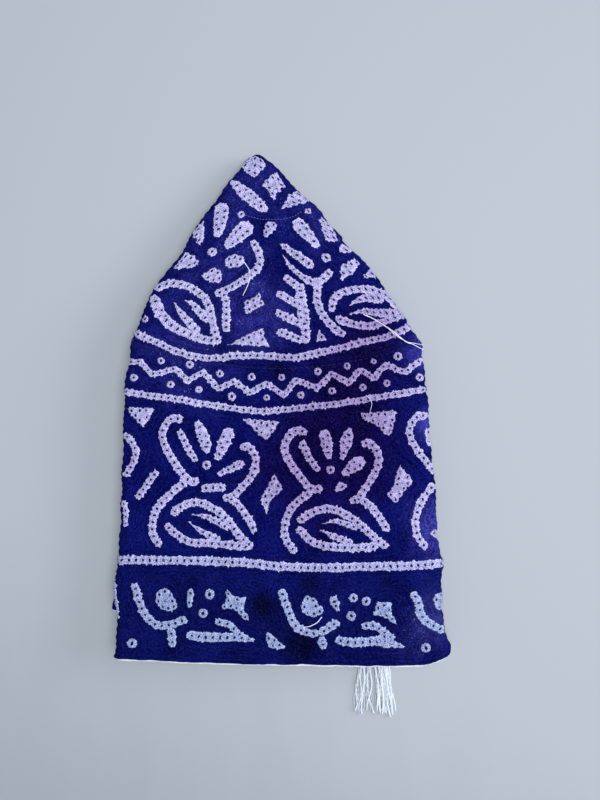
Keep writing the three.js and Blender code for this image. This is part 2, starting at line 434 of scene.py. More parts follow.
    def relief(self, turn: Array, x: Array, up: Array) -> Array:
        """Lift of the front by its dents, each a Gaussian hollow, and by long shallow ripples.

        Args:
            turn: Turns round the section.
            x: Across.
            up: Heights above the rim.

        Returns:
            Lift of the cloth in z, zero off the front.
        """
        low, high = self.front_turns
        around = self.centred(turn)
        on_front = smooth_step(around, low + 0.5, low + 1.5) * smooth_step(-around, -high + 0.5, -high + 1.5)
        lift = (0.42 * np.sin(x / 5.3 + 0.9 * np.sin(up / 17)) * np.sin(up / 9.1 + x / 31)
                + 0.30 * np.sin(x / 3.1 - up / 6.7) * np.sin(up / 4.3 + 1.7 + x / 12)
                + 0.13 * np.sin(x / 0.9 + 1.6 * np.sin(up / 3.7)) * np.sin(up / 0.8 + 1.9 * np.sin(x / 4.1)))
        from_seam = up - self.seam_height - self.seam_bow * self.share_of(x, up) ** 2
        lift = lift - 0.55 * np.exp(-(from_seam / 1.5) ** 2) + 0.35 * np.exp(-((from_seam - 5.5) / 3) ** 2)
        for dent in DENTS:
            lean = math.radians(dent.lean)
            dx, dy = x - dent.x, up - dent.up
            along = (dy * math.cos(lean) - dx * math.sin(lean)) / dent.long
            across = (dx * math.cos(lean) + dy * math.sin(lean)) / dent.wide
            lift = lift - dent.depth * np.exp(-along ** 2 - across ** 2)
        return on_front * lift

    def edge_shift(self, turn: Array, up: Array) -> Array:
        """Sideways waves and nicks of the front's two folds; they die away from the fold as a Gaussian.

        Args:
            turn: Turns round the section.
            up: Heights above the rim.

        Returns:
            Shift of the cloth in x.
        """
        shift = np.zeros(np.shape(turn))
        folds = zip(self.front_turns, (0.0, 2.1), (-1, 1), (LEFT_NICKS, RIGHT_NICKS))
        for fold, phase, way, nicks in folds:
            away = self.centred(turn - fold)
            wave = self.edge_wave * np.sin(up / 2.9 + 1.3 * np.sin(up / 11 + phase))
            wave = wave + self.edge_ripple * np.sin(up / 0.5 + 2.6 * np.sin(up / 6 + phase))
            out = sum(nick.out * np.exp(-((up - nick.up) / nick.spread) ** 2) for nick in nicks)
            shift = shift + (wave + way * out) * np.exp(-(away / 0.9) ** 2)
        return shift

    def points(self, turn: Array, up: Array, inset: float = 0.0, lift: Array | float = 0.0) -> Array:
        """Points of the cloth in the part's frame, in millimetres.

        Args:
            turn: Turns round the section.
            up: Heights above the rim.
            inset: Depth below the outside of the cloth.
            lift: Distance above the outside, along the surface's normal.

        Returns:
            Points, with x, y and z last.
        """
        turn, up = np.broadcast_arrays(np.asarray(turn, float), np.asarray(up, float))
        x, z, _ = self.place(turn, up, inset)
        low, high = self.back_turns
        on_back = smooth_step(turn, low - 0.5, low + 1) * smooth_step(-turn, -high - 0.5, -high + 1)
        z = z + self.relief(turn, x, up) + on_back * self.back_lift * (inset == 0)
        x = x + self.edge_shift(turn, up)
        spots = np.stack((x, up, z), -1) + self.origin
        if np.any(lift):
            spots = spots + np.asarray(lift)[..., None] * self.frames(turn, up)[1]
        return spots

    def frames(self, turn: Array, up: Array) -> tuple[Array, Array]:
        """Tangent and outward normal of the cloth, from small steps along both parameters.

        Args:
            turn: Turns round the section.
            up: Heights above the rim.

        Returns:
            Tangent for each turn, and the unit normal, its cross product with the one for each height.
        """
        step_turn, step_up = 0.02, 0.2
        round_way = (self.points(turn + step_turn, up) - self.points(turn - step_turn, up)) / (2 * step_turn)
        up_way = (self.points(turn, up + step_up) - self.points(turn, up - step_up)) / (2 * step_up)
        return round_way, unit(np.cross(round_way, up_way))

    def turn_table(self, face: Face) -> Array:
        """Turns of one face over a grid of heights and shares of the half width, closer at the folds.

        Args:
            face: Front or back.

        Returns:
            Turns, one row for each height.
        """
        turns = np.linspace(*(self.front_turns if face is Face.FRONT else self.back_turns), 481)
        ups = np.linspace(0, self.table["up"][-1], self.table_rows)
        shares = np.sin(np.linspace(-1, 1, self.table_columns) * math.pi / 2)
        across = self.share_of(self.place(turns[None, :], ups[:, None])[0], ups[:, None])
        way = 1 if face is Face.FRONT else -1
        return np.array([np.interp(shares, row[::way], turns[::way]) for row in across])

    def turn_at(self, x: Array, up: Array, face: Face = Face.FRONT) -> Array:
        """Turn at which a face is across at x, read between four places of its table.

        Args:
            x: Across.
            up: Heights above the rim.
            face: Front or back.

        Returns:
            Turns round the section.
        """
        share = np.clip(self.share_of(x, up), -1, 1)
        column = (np.arcsin(share) / math.pi + 0.5) * (self.table_columns - 1)
        row = np.clip(up / self.table["up"][-1], 0, 1) * (self.table_rows - 1)
        return read_grid(self.turn_tables[face], row, column)

    def settle(self, low: Array, high: Array) -> None:
        """Sets the origin so that the crown fills its box in the frame.

        Its tip and its underside meet the box, and the middle of the seam's width is the box's middle.

        Args:
            low: Lower corner of the box.
            high: Upper corner of the box.
        """
        turn = np.linspace(0, self.spans, 2000)
        x = self.place(turn, self.up_of(turn, np.full_like(turn, self.seam_height + 0.15)))[0]
        middle = (low[0] + high[0]) / 2 - (x.min() + x.max()) / 2
        self.origin = np.array((middle, high[1] - self.tip_height, low[2]))


def read_grid(grid: Array, row: Array, column: Array) -> Array:
    """Values between the nodes of a grid, by the bilinear rule.

    Args:
        grid: Values at the nodes.
        row: Places along the rows, counted in nodes.
        column: Places along the columns.

    Returns:
        Values at the places.
    """
    low_row = np.clip(np.floor(row).astype(int), 0, grid.shape[0] - 2)
    low_column = np.clip(np.floor(column).astype(int), 0, grid.shape[1] - 2)
    s, t = np.clip(row - low_row, 0, 1), np.clip(column - low_column, 0, 1)
    low = grid[low_row, low_column] * (1 - t) + grid[low_row, low_column + 1] * t
    high = grid[low_row + 1, low_column] * (1 - t) + grid[low_row + 1, low_column + 1] * t
    return low * (1 - s) + high * s


@dataclass(frozen=True)
class PhotoCamera:
    """Camera straight above the cap: its height, focal length in pixels, and what it looks at."""

    height: float = 400.0
    focal: float = 864.8
    over_x: float = 8.48
    over_up: float = 115.2
    width: int = 600
    tall: int = 800
    sensor: float = 36.0
    front_height: float = 22.0
    first_guess: float = 23.0

    @property
    def scale(self) -> float:
        """Millimetres for each pixel on the front: its distance over the focal length."""
        return (self.height - self.front_height) / self.focal

    def on_front(self, shape: FoldedShape, spots: Array) -> tuple[Array, Array]:
        """Places on the front that the camera sees at points of its picture.

        A point's sight line is met with the front's own height, by a few rounds of the same rule:
        offset equals the pixel offset times the distance over the focal length.

        Args:
            shape: The folded cap.
            spots: Picture points, x to the right and y upwards from the top edge.

        Returns:
            Across and heights above the rim.
        """
        z = np.full(len(spots), self.first_guess)
        for _ in range(4):
            scale = (self.height - z) / self.focal
            x = self.over_x + (spots[:, 0] - self.width / 2) * scale
            up = self.over_up + (spots[:, 1] + self.tall / 2) * scale
            turn = shape.turn_at(x, up)
            z = shape.place(turn, up)[1]
        return x, up

    def build(self, shape: FoldedShape) -> None:
        """Makes the scene's camera.

        Args:
            shape: The folded cap, for the place of its origin.
        """
        data = bpy.data.cameras.new("photo_camera")
        data.sensor_width = self.sensor
        data.lens = self.focal * self.sensor / self.tall
        data.clip_start = 0.01
        camera = bpy.data.objects.new("photo_camera", data)
        camera.location = (np.array((self.over_x, self.over_up, self.height)) + shape.origin) * MM
        bpy.context.scene.collection.objects.link(camera)
        bpy.context.scene.camera = camera


class NodeSheet:
    """The shader nodes of one material, with short calls to add and link them."""

    def __init__(self, name: str) -> None:
        """Starts a material with a principled shader and an output."""
        self.material = bpy.data.materials.new(name)
        self.material.use_nodes = True
        self.tree = self.material.node_tree
        self.tree.nodes.clear()
        self.shader = self.add("ShaderNodeBsdfPrincipled")
        self.add("ShaderNodeOutputMaterial", {"Surface": self.shader.outputs["BSDF"]})

    def feed(self, node: bpy.types.Node, inputs: Inputs) -> None:
        """Links each of a node's sockets to an output, or sets its constant."""
        for name, value in inputs.items():
            if isinstance(value, Socket):
                self.tree.links.new(value, node.inputs[name])
            else:
                node.inputs[name].default_value = value

    def add(self, kind: str, inputs: Inputs | None = None, **settings: object) -> bpy.types.Node:
        """Adds a node, sets its properties and feeds its sockets."""
        node = self.tree.nodes.new(kind)
        for name, value in settings.items():
            setattr(node, name, value)
        self.feed(node, inputs or {})
        return node

    def math(self, operation: str, *values: object) -> Socket:
        """Result of one math node."""
        return self.add("ShaderNodeMath", dict(enumerate(values)), operation=operation).outputs[0]

    def times(self, value: object, factor: object) -> Socket:
        """Product of two values."""
        return self.math("MULTIPLY", value, factor)

    def scaled(self, value: object, factor: float, base: object) -> Socket:
        """A base plus a value times a factor."""
        return self.math("MULTIPLY_ADD", value, factor, base)

    def attribute(self, name: str) -> Socket:
        """Factor of a mesh attribute."""
        return self.add("ShaderNodeAttribute", attribute_name=name).outputs["Fac"]

    def parts(self, vector: Socket) -> list[Socket]:
        """The three parts of a vector."""
        return list(self.add("ShaderNodeSeparateXYZ", {0: vector}).outputs)

    def place(self) -> Socket:
        """Object coordinates."""
        return self.add("ShaderNodeTexCoord").outputs["Object"]

    def ring(self) -> list[Socket]:
        """The way round and the reach, from the ring map."""
        return self.parts(self.add("ShaderNodeUVMap", uv_map="ring").outputs["UV"])[:2]

    def noise(self, size_mm: float, detail: float = 2.0, stretch: Sequence[float] = (1, 1, 1)) -> Socket:
        """Noise over object coordinates with grains of a given size."""
        spot = self.add("ShaderNodeMapping", {"Vector": self.place(), "Scale": stretch}).outputs[0]
        inputs = {"Vector": spot, "Scale": 1 / (size_mm * MM), "Detail": detail}
        return self.add("ShaderNodeTexNoise", inputs).outputs["Fac"]

    def between(self, value: object, low: float, high: float) -> Socket:
        """Eased share of a value between two limits."""
        inputs = {"Value": value, "From Min": low, "From Max": high}
        return self.add("ShaderNodeMapRange", inputs, interpolation_type="SMOOTHSTEP").outputs["Result"]

    def mix(self, share: object, first: object, second: object, blend: str = "MIX") -> Socket:
        """Blend of two colours, by a share of the second."""
        first, second = ((*tone, 1.0) if isinstance(tone, tuple) else tone for tone in (first, second))
        inputs = {"Factor": share, 6: first, 7: second}
        return self.add("ShaderNodeMix", inputs, data_type="RGBA", blend_type=blend).outputs[2]

    def tint(self, tone: object, share: object, colour: Colour) -> Socket:
        """A tone times a share of a filter's colour."""
        return self.mix(1.0, tone, self.mix(share, (1.0, 1.0, 1.0), colour), "MULTIPLY")

    def bump(self, height: object, strength: float, distance_mm: float) -> None:
        """Feeds the shader's normal from a height."""
        inputs = {"Height": height, "Strength": strength, "Distance": distance_mm * MM}
        self.feed(self.shader, {"Normal": self.add("ShaderNodeBump", inputs).outputs["Normal"]})

    def surface(self, colour: object, roughness: float, sheen: float, gloss: float = 0.12) -> Material:
        """Sets the shader's colour and its constant roughness, sheen and gloss, and returns the material."""
        self.feed(self.shader, {"Base Color": colour, "Roughness": roughness, "Sheen Weight": sheen,
                                "Sheen Roughness": 0.5, "Specular IOR Level": gloss})
        return self.material


@dataclass(frozen=True)
class StitchedGround:
    """Indigo cotton worked all over with lines of stitches that follow the motifs."""

    # Painted shade in the hollows between the stitched lines, and painted light on the lines
    deep: Colour = (0.0002, 0.0006, 0.042)
    raised: Colour = (0.0028, 0.0058, 0.130)
    # Painted violet shade, in the hollows and on the lines
    violet: Colour = (0.0006, 0.0001, 0.015)
    violet_raised: Colour = (0.0040, 0.0008, 0.060)
    # Painted light where the light cloud is strong
    bright: Colour = (0.0560, 0.0530, 0.390)
    shadow: Colour = (0.0003, 0.0005, 0.013)
    # Painted cool cast of the light
    cool: Colour = (0.84, 0.95, 0.78)
    speck: Colour = (0.15, 0.19, 0.56)
    fuzz: Colour = (0.07, 0.07, 0.13)
    nap: Colour = (0.05, 0.08, 0.60)
    base_cloth: Colour = (0.60, 0.66, 0.78)

    def material(self) -> Material:
        """Lines are the cosine of the distance to the nearest motif, broken up into stitches by noise.

        Returns:
            The finish of the ground.
        """
        sheet = NodeSheet("stitched_indigo")
        mix, between, noise = sheet.mix, sheet.between, sheet.noise
        times, scaled, attribute = sheet.times, sheet.scaled, sheet.attribute
        echo = attribute("echo")
        distance = sheet.math("SUBTRACT", echo, FIRST_LINE)
        wave = sheet.math("COSINE", times(distance, 2 * math.pi / LINE_GAP))
        ridge = between(wave, -0.9, 0.9)
        stitch = between(noise(0.62, 1), 0.30, 0.70)
        height = scaled(ridge, 0.36, times(stitch, 0.66))
        blotch = times(between(noise(14, 2), 0.3, 0.7), 0.2)
        blotch = scaled(between(noise(3.0, 3), 0.3, 0.7), 0.12, blotch)
        # The stitched relief is also painted: lighter on the lines, darker between them
        share = between(scaled(height, 0.5, blotch), 0.04, 0.78)
        drift = scaled(noise(12, 1), 0.6, -0.3)
        # Painted violet shade, and painted light that lifts both tones
        violet = between(sheet.math("ADD", attribute("violet"), drift), 0.05, 1.15)
        lighter = between(sheet.math("ADD", attribute("lighter"), drift), 0.05, 1.3)
        low = mix(violet, self.deep, self.violet)
        low = mix(times(lighter, 0.6), low, self.raised)
        high = mix(lighter, mix(violet, self.raised, self.violet_raised), self.bright)
        tone = mix(share, low, high)
        # Painted shade on the cloth close beside the raised motifs
        beside = scaled(between(echo, -0.1, 1.5), 0.3, 0.7)
        tone = mix(beside, self.shadow, tone)
        # Painted shade in the creases, where the light cloud is negative
        crease = times(attribute("lighter"), -1.0)
        tone = mix(times(between(crease, 0.05, 0.95), 0.8), tone, self.shadow)
        # Painted cool cast of the light
        tone = sheet.tint(tone, between(attribute("cool"), 0.0, 1.0), self.cool)
        grain = between(noise(0.66, 0), 0.64, 0.74)
        cluster = between(noise(7, 1), 0.48, 0.62)
        valley = sheet.math("SUBTRACT", 1.0, ridge)
        # Specks grow denser where light is painted
        worn = scaled(between(attribute("lighter"), 0.15, 0.5), 0.5, 0.04)
        speck = times(times(grain, valley), times(cluster, worn))
        tone = mix(speck, tone, self.speck)
        fuzz = times(between(noise(0.5, 1), 0.50, 0.76), 0.18)
        tone = mix(fuzz, tone, self.fuzz)
        edge = scaled(noise(7, 2), -0.9, attribute("hem"))
        cut = sheet.math("SUBTRACT", 1.0, between(edge, -0.06, 0.14))
        tone = mix(cut, tone, self.base_cloth)
        weave = times(noise(0.35, 0), 0.25)
        sheet.bump(sheet.math("ADD", height, weave), 0.9, 0.30)
        sheet.shader.inputs["Sheen Tint"].default_value = (*self.nap, 1.0)
        return sheet.surface(tone, 0.85, 0.03, 0.0)


@dataclass(frozen=True)
class EyeletThread:
    """Pale lavender cotton thread, laid as spokes round a pierced hole whose shade is painted dark."""

    thread: Colour = (0.545, 0.53, 0.885)
    shade: Colour = (0.095, 0.090, 0.25)
    # Painted violet shade
    violet: Colour = (0.74, 0.61, 0.73)
    # Painted cool cast of the light
    cool: Colour = (0.70, 0.87, 0.87)
    end: Colour = (0.66, 0.67, 0.99)
    # Painted shade inside the pierced hole
    hole: Colour = (0.004, 0.004, 0.040)
    spokes: int = 9
    end_share: float = 0.3
    # Share of painted light on the thread
    worn_share: float = 0.08

    def material(self) -> Material:
        """Spokes are a sine round the ring; the hole, painted dark as its shade, is where the reach from the
        middle is small.

        Returns:
            The finish of the embroidery.
        """
        sheet = NodeSheet("eyelet_thread")
        mix, between, noise = sheet.mix, sheet.between, sheet.noise
        times, scaled, attribute = sheet.times, sheet.scaled, sheet.attribute
        around, reach = sheet.ring()
        wave = sheet.math("SINE", times(around, 2 * math.pi * self.spokes))
        strand = scaled(noise(0.42, 1), 1.7, times(wave, 0.20))
        fibre = scaled(noise(1.3, 1), 0.2, strand)
        tone = mix(between(fibre, 0.46, 1.27), self.shade, self.thread)
        # Painted light: the thread is lighter where the light cloud is strong
        worn = times(between(attribute("lighter"), 0.0, 0.5), self.worn_share)
        tone = mix(worn, tone, self.end)
        at_end = times(between(reach, 0.56, 0.68), self.end_share)
        at_end = times(at_end, sheet.math("LESS_THAN", attribute("ringed"), 0.1))
        tone = mix(at_end, tone, self.end)
        # Painted shade at the outer edge of each ring, where it meets the next
        rim = times(between(reach, 0.80, 1.0), 0.18)
        tone = mix(rim, tone, self.shade)
        # Painted shade along the lines where the stitches cross
        swing = sheet.math("SINE", times(sheet.math("ADD", around, -0.14), 2 * math.pi))
        cross = sheet.math("SUBTRACT", 1.0, between(sheet.math("ABSOLUTE", swing), 0.05, 0.3))
        cross = times(cross, between(reach, 0.2, 0.4))
        tone = mix(times(cross, attribute("ringed")), tone, self.shade)
        # Painted shade inside the hole
        tone = mix(between(reach, 0.36, 0.45), self.hole, tone)
        # Painted violet shade and painted cool cast of the light
        tone = sheet.tint(tone, between(attribute("violet"), 0.0, 1.1), self.violet)
        tone = sheet.tint(tone, between(attribute("cool"), 0.0, 1.0), self.cool)
        sheet.bump(fibre, 0.9, 0.30)
        return sheet.surface(tone, 0.8, 0.05)


@dataclass(frozen=True)
class CottonLining:
    """White cotton inside of the cap, dotted with the backs of the blue stitches."""

    cotton: Colour = (0.66, 0.68, 0.74)
    stitch: Colour = (0.05, 0.06, 0.24)

    def material(self) -> Material:
        """Stitch backs are the peaks of a noise stretched along the rows.

        Returns:
            The finish of the inside.
        """
        sheet = NodeSheet("cotton_lining")
        backs = sheet.between(sheet.noise(1.6, 1, (0.5, 1.4, 1)), 0.56, 0.66)
        tone = sheet.mix(backs, self.cotton, self.stitch)
        weave = sheet.noise(0.4, 1)
        sheet.bump(sheet.math("ADD", weave, backs), 0.5, 0.2)
        return sheet.surface(tone, 0.9, 0.05)


@dataclass(frozen=True)
class LooseCotton:
    """White cotton thread, twisted, for the tassel and the loose ends."""

    name: str = "loose_cotton"
    thread: Colour = (0.68, 0.74, 0.83)
    shade: Colour = (0.47, 0.53, 0.62)
    plies: float = 3.0

    def material(self) -> Material:
        """The twist is a sine of the way round plus the way along the thread.

        Returns:
            The finish of bare threads.
        """
        sheet = NodeSheet(self.name)
        around, length = sheet.ring()
        turns = sheet.scaled(around, self.plies, length)
        twist = sheet.math("SINE", sheet.times(turns, 2 * math.pi))
        fibre = sheet.scaled(sheet.noise(0.3, 2), 0.8, sheet.times(twist, 0.4))
        tone = sheet.mix(sheet.between(fibre, -0.2, 0.8), self.shade, self.thread)
        sheet.bump(fibre, 0.6, 0.12)
        return sheet.surface(tone, 0.85, 0.1)


@dataclass(frozen=True)
class BlueThread:
    """Blue sewing thread of the seam, or the same worn pale."""

    name: str = "blue_thread"
    thread: Colour = (0.010, 0.014, 0.12)
    shade: Colour = (0.003, 0.005, 0.06)

    def material(self) -> Material:
        """Fine noise between two blues."""
        sheet = NodeSheet(self.name)
        fibre = sheet.noise(0.4, 2)
        tone = sheet.mix(sheet.between(fibre, 0.3, 0.7), self.shade, self.thread)
        sheet.bump(fibre, 0.5, 0.1)
        return sheet.surface(tone, 0.7, 0.0)


@dataclass(frozen=True)
class PaleTable:
    """Plain pale table top, a little deeper in tone towards one corner, as painted shade."""

    colour: Colour = (0.348, 0.385, 0.434)
    # Painted shade towards the lower left corner
    corner: Colour = (0.275, 0.306, 0.347)

    def material(self) -> Material:
        """A fall of tone along the diagonal as painted shade, broken by a barely visible drift.

        Returns:
            The finish of the table.
        """
        sheet = NodeSheet("pale_table")
        x, y, _ = sheet.parts(sheet.place())
        drift = sheet.times(sheet.noise(26, 3, (1.0, 0.22, 1.0)), 0.08)
        sideways = sheet.scaled(x, 0.6, drift)
        diagonal = sheet.scaled(y, 1.4, sideways)
        # Painted shade towards the lower left
        tone = sheet.mix(sheet.between(diagonal, -0.30, -0.06), self.corner, self.colour)
        return sheet.surface(tone, 0.6, 0.0)


def make_mesh(name: str, points: Array, faces: Sequence[Array], materials: Sequence[Material],
              slots: Sequence[int] | None = None) -> Piece:
    """Makes a smooth mesh object from arrays.

    Args:
        name: Name of the object.
        points: Points in millimetres.
        faces: Arrays of corner numbers, each with one kind of face.
        materials: Materials of the mesh.
        slots: Material number for each array of faces.

    Returns:
        The object, at the origin.
    """
    mesh = bpy.data.meshes.new(name)
    corners = np.concatenate([np.asarray(part).ravel() for part in faces]).astype(np.int32)
    sizes = np.concatenate([np.full(len(part), np.asarray(part).shape[1]) for part in faces]).astype(np.int32)
    mesh.vertices.add(len(points))
    mesh.vertices.foreach_set("co", (np.asarray(points) * MM).astype(np.float32).ravel())
    mesh.loops.add(len(corners))
    mesh.loops.foreach_set("vertex_index", corners)
    mesh.polygons.add(len(sizes))
    mesh.polygons.foreach_set("loop_start", np.concatenate(([0], np.cumsum(sizes)[:-1])).astype(np.int32))
    mesh.polygons.foreach_set("use_smooth", np.ones(len(sizes), bool))
    for material in materials:
        mesh.materials.append(material)
    if slots is not None:
        numbers = np.concatenate([np.full(len(part), slot) for part, slot in zip(faces, slots)])
        mesh.polygons.foreach_set("material_index", numbers.astype(np.int32))
    mesh.update(calc_edges=True)
    mesh.validate()
    piece = bpy.data.objects.new(name, mesh)
    bpy.context.scene.collection.objects.link(piece)
    return piece


def set_attribute(piece: Piece, name: str, values: Array) -> None:
    """Stores one number for each point of a piece."""
    attribute = piece.data.attributes.new(name, "FLOAT", "POINT")
    attribute.data.foreach_set("value", np.asarray(values, np.float32))


def set_clouds(piece: Piece, x: Array, up: Array, share: Array | float = 1.0) -> None:
    """Stores a share of the three clouds of painted light and shade at the places of a piece's points."""
    for name, fades in (("lighter", LIGHT_AND_SHADE), ("violet", VIOLET_SHADE), ("cool", COOL)):
        set_attribute(piece, name, share * cloud(fades, x, up))


def set_ring_map(piece: Piece, corners: Array) -> None:
    """Stores the UV map of a piece, one pair for each face corner."""
    layer = piece.data.uv_layers.new(name="ring")
    layer.data.foreach_set("uv", np.asarray(corners, np.float32).ravel())


def band_faces(rows: int, columns: int, first: int = 0, inward: bool = False) -> Array:
    """Quads of a grid that closes round its columns.

    Args:
        rows: Rows of points.
        columns: Points in a row.
        first: Number of the first point.
        inward: True for a skin that faces the other way.

    Returns:
        Corner numbers, four for each quad.
    """
    nodes = first + np.arange(rows * columns).reshape(rows, columns)
    quads = join_faces(nodes[:-1], nodes[1:]).reshape(-1, 4)
    return quads[:, ::-1] if inward else quads


def join_faces(low: Array, high: Array) -> Array:
    """Quads between closed rows of points, from a low row to a high one."""
    return np.stack((low, np.roll(low, -1, -1), np.roll(high, -1, -1), high), -1)


def fan_faces(row: Array, tip: int) -> Array:
    """Triangles between a closed row of points and a tip."""
    return np.stack((row, np.roll(row, -1), np.full_like(row, tip)), -1)


def run_length(points: Array) -> Array:
    """Length along a line, or along each of many, at its points: the sum of the steps before them."""
    steps = np.linalg.norm(np.diff(points, axis=-2), axis=-1)
    return np.concatenate((np.zeros_like(steps[..., :1]), np.cumsum(steps, axis=-1)), axis=-1)


def read_line(where: Array, lengths: Array, spots: Array) -> Array:
    """Places at some lengths along a line, straight between its spots."""
    return np.stack([np.interp(where, lengths, column) for column in spots.T], -1)


def round_spots(spots: Array, step: float, closed: bool = False, sharp: bool = False) -> Array:
    """Points close together along a line through a few spots.

    A smooth line is the Catmull-Rom spline through the spots, a sharp one is straight between them.

    Args:
        spots: Spots, one row each.
        step: Spacing of the points.
        closed: True where the last spot leads back to the first.
        sharp: True for straight stretches.

    Returns:
        Points evenly spaced along the line.
    """
    spots = np.asarray(spots, float)
    if closed:
        spots = np.vstack((spots, spots[:1]))
    if not sharp and len(spots) > 2:
        ends = np.vstack((2 * spots[0] - spots[1], spots, 2 * spots[-1] - spots[-2]))
        s = np.linspace(0, 1, 16, endpoint=False)[None, :, None]
        a, b, c, d = (ends[k:len(ends) - 3 + k, None, :] for k in range(4))
        square, cube = 2 * a - 5 * b + 4 * c - d, 3 * b - a - 3 * c + d
        curve = 0.5 * (2 * b + (c - a) * s + square * s ** 2 + cube * s ** 3)
        spots = np.vstack((curve.reshape(-1, 2), spots[-1:]))
    lengths = run_length(spots)
    count = max(int(round(lengths[-1] / step)), 1)
    where = np.linspace(0, lengths[-1], count + (not closed), endpoint=not closed)
    return read_line(where, lengths, spots)


@dataclass(frozen=True)
class Eyelets:
    """Eyelets in the picture: spots, half sizes along and across, and lean."""

    spots: Array
    along: Array
    across: Array
    lean: Array

    @staticmethod
    def join(parts: Sequence["Eyelets"]) -> "Eyelets":
        """All eyelets of several motifs."""
        names = Eyelets.__dataclass_fields__
        return Eyelets(*(np.concatenate([getattr(part, name) for part in parts]) for name in names))


@dataclass(frozen=True)
class Plate:
    """Raised stitching of one motif in the picture: a mesh with lifts and map, its edge, its eyelets."""

    spots: Array
    lifts: Array
    coords: Array
    quads: Array
    tris: Array
    edge: Array
    outward: Array
    eyelets: Eyelets

    @staticmethod
    def join(parts: Sequence["Plate"]) -> "Plate":
        """All plates as one; the corner numbers go on from plate to plate.

        Args:
            parts: The plates.

        Returns:
            One plate.
        """
        starts = np.cumsum([0] + [len(part.spots) for part in parts])
        faces = {name: np.concatenate([getattr(part, name) + start for part, start in zip(parts, starts)])
                 for name in ("quads", "tris")}
        rest = {name: np.concatenate([getattr(part, name) for part in parts])
                for name in ("spots", "lifts", "coords", "edge", "outward")}
        return Plate(**faces, **rest, eyelets=Eyelets.join([part.eyelets for part in parts]))


@dataclass(frozen=True)
class Laid:
    """Places on the cloth: turns, heights, and the places on the front that they take their colour from."""

    turn: Array
    up: Array
    front_x: Array
    front_up: Array


# Raised stitching: its height, and in picture points the steps along it and the shares across it
PLATE_LIFT = 0.34
BAND_STEP = 1.3
BAND_COLUMNS = (-1, -0.8, -0.4, 0, 0.4, 0.8, 1)
BAND_LIFTS = (0.2, 0.8, 1, 1, 1, 0.8, 0.2)
PATCH_STEP = 1.5
PATCH_RINGS = (1, 0.88, 0.6, 0.3)
PATCH_LIFTS = (0.2, 0.85, 1, 1)
PLATE_TRIM = 1.1
RING_LENGTH = 21.6
EDGE_REACH = 0.22


def ragged(rng: np.random.Generator, count: int) -> Array:
    """Uneven reach of the stitch ends along an edge: small noise and a few longer ends."""
    return rng.normal(0, 0.42, count) + rng.uniform(0.5, 1.5, count) * (rng.random(count) < 0.22) - 0.25


def upright(spots: Sequence[Spot]) -> Array:
    """Picture points with y counted upwards."""
    return np.array(spots, float) * (1.0, -1.0)


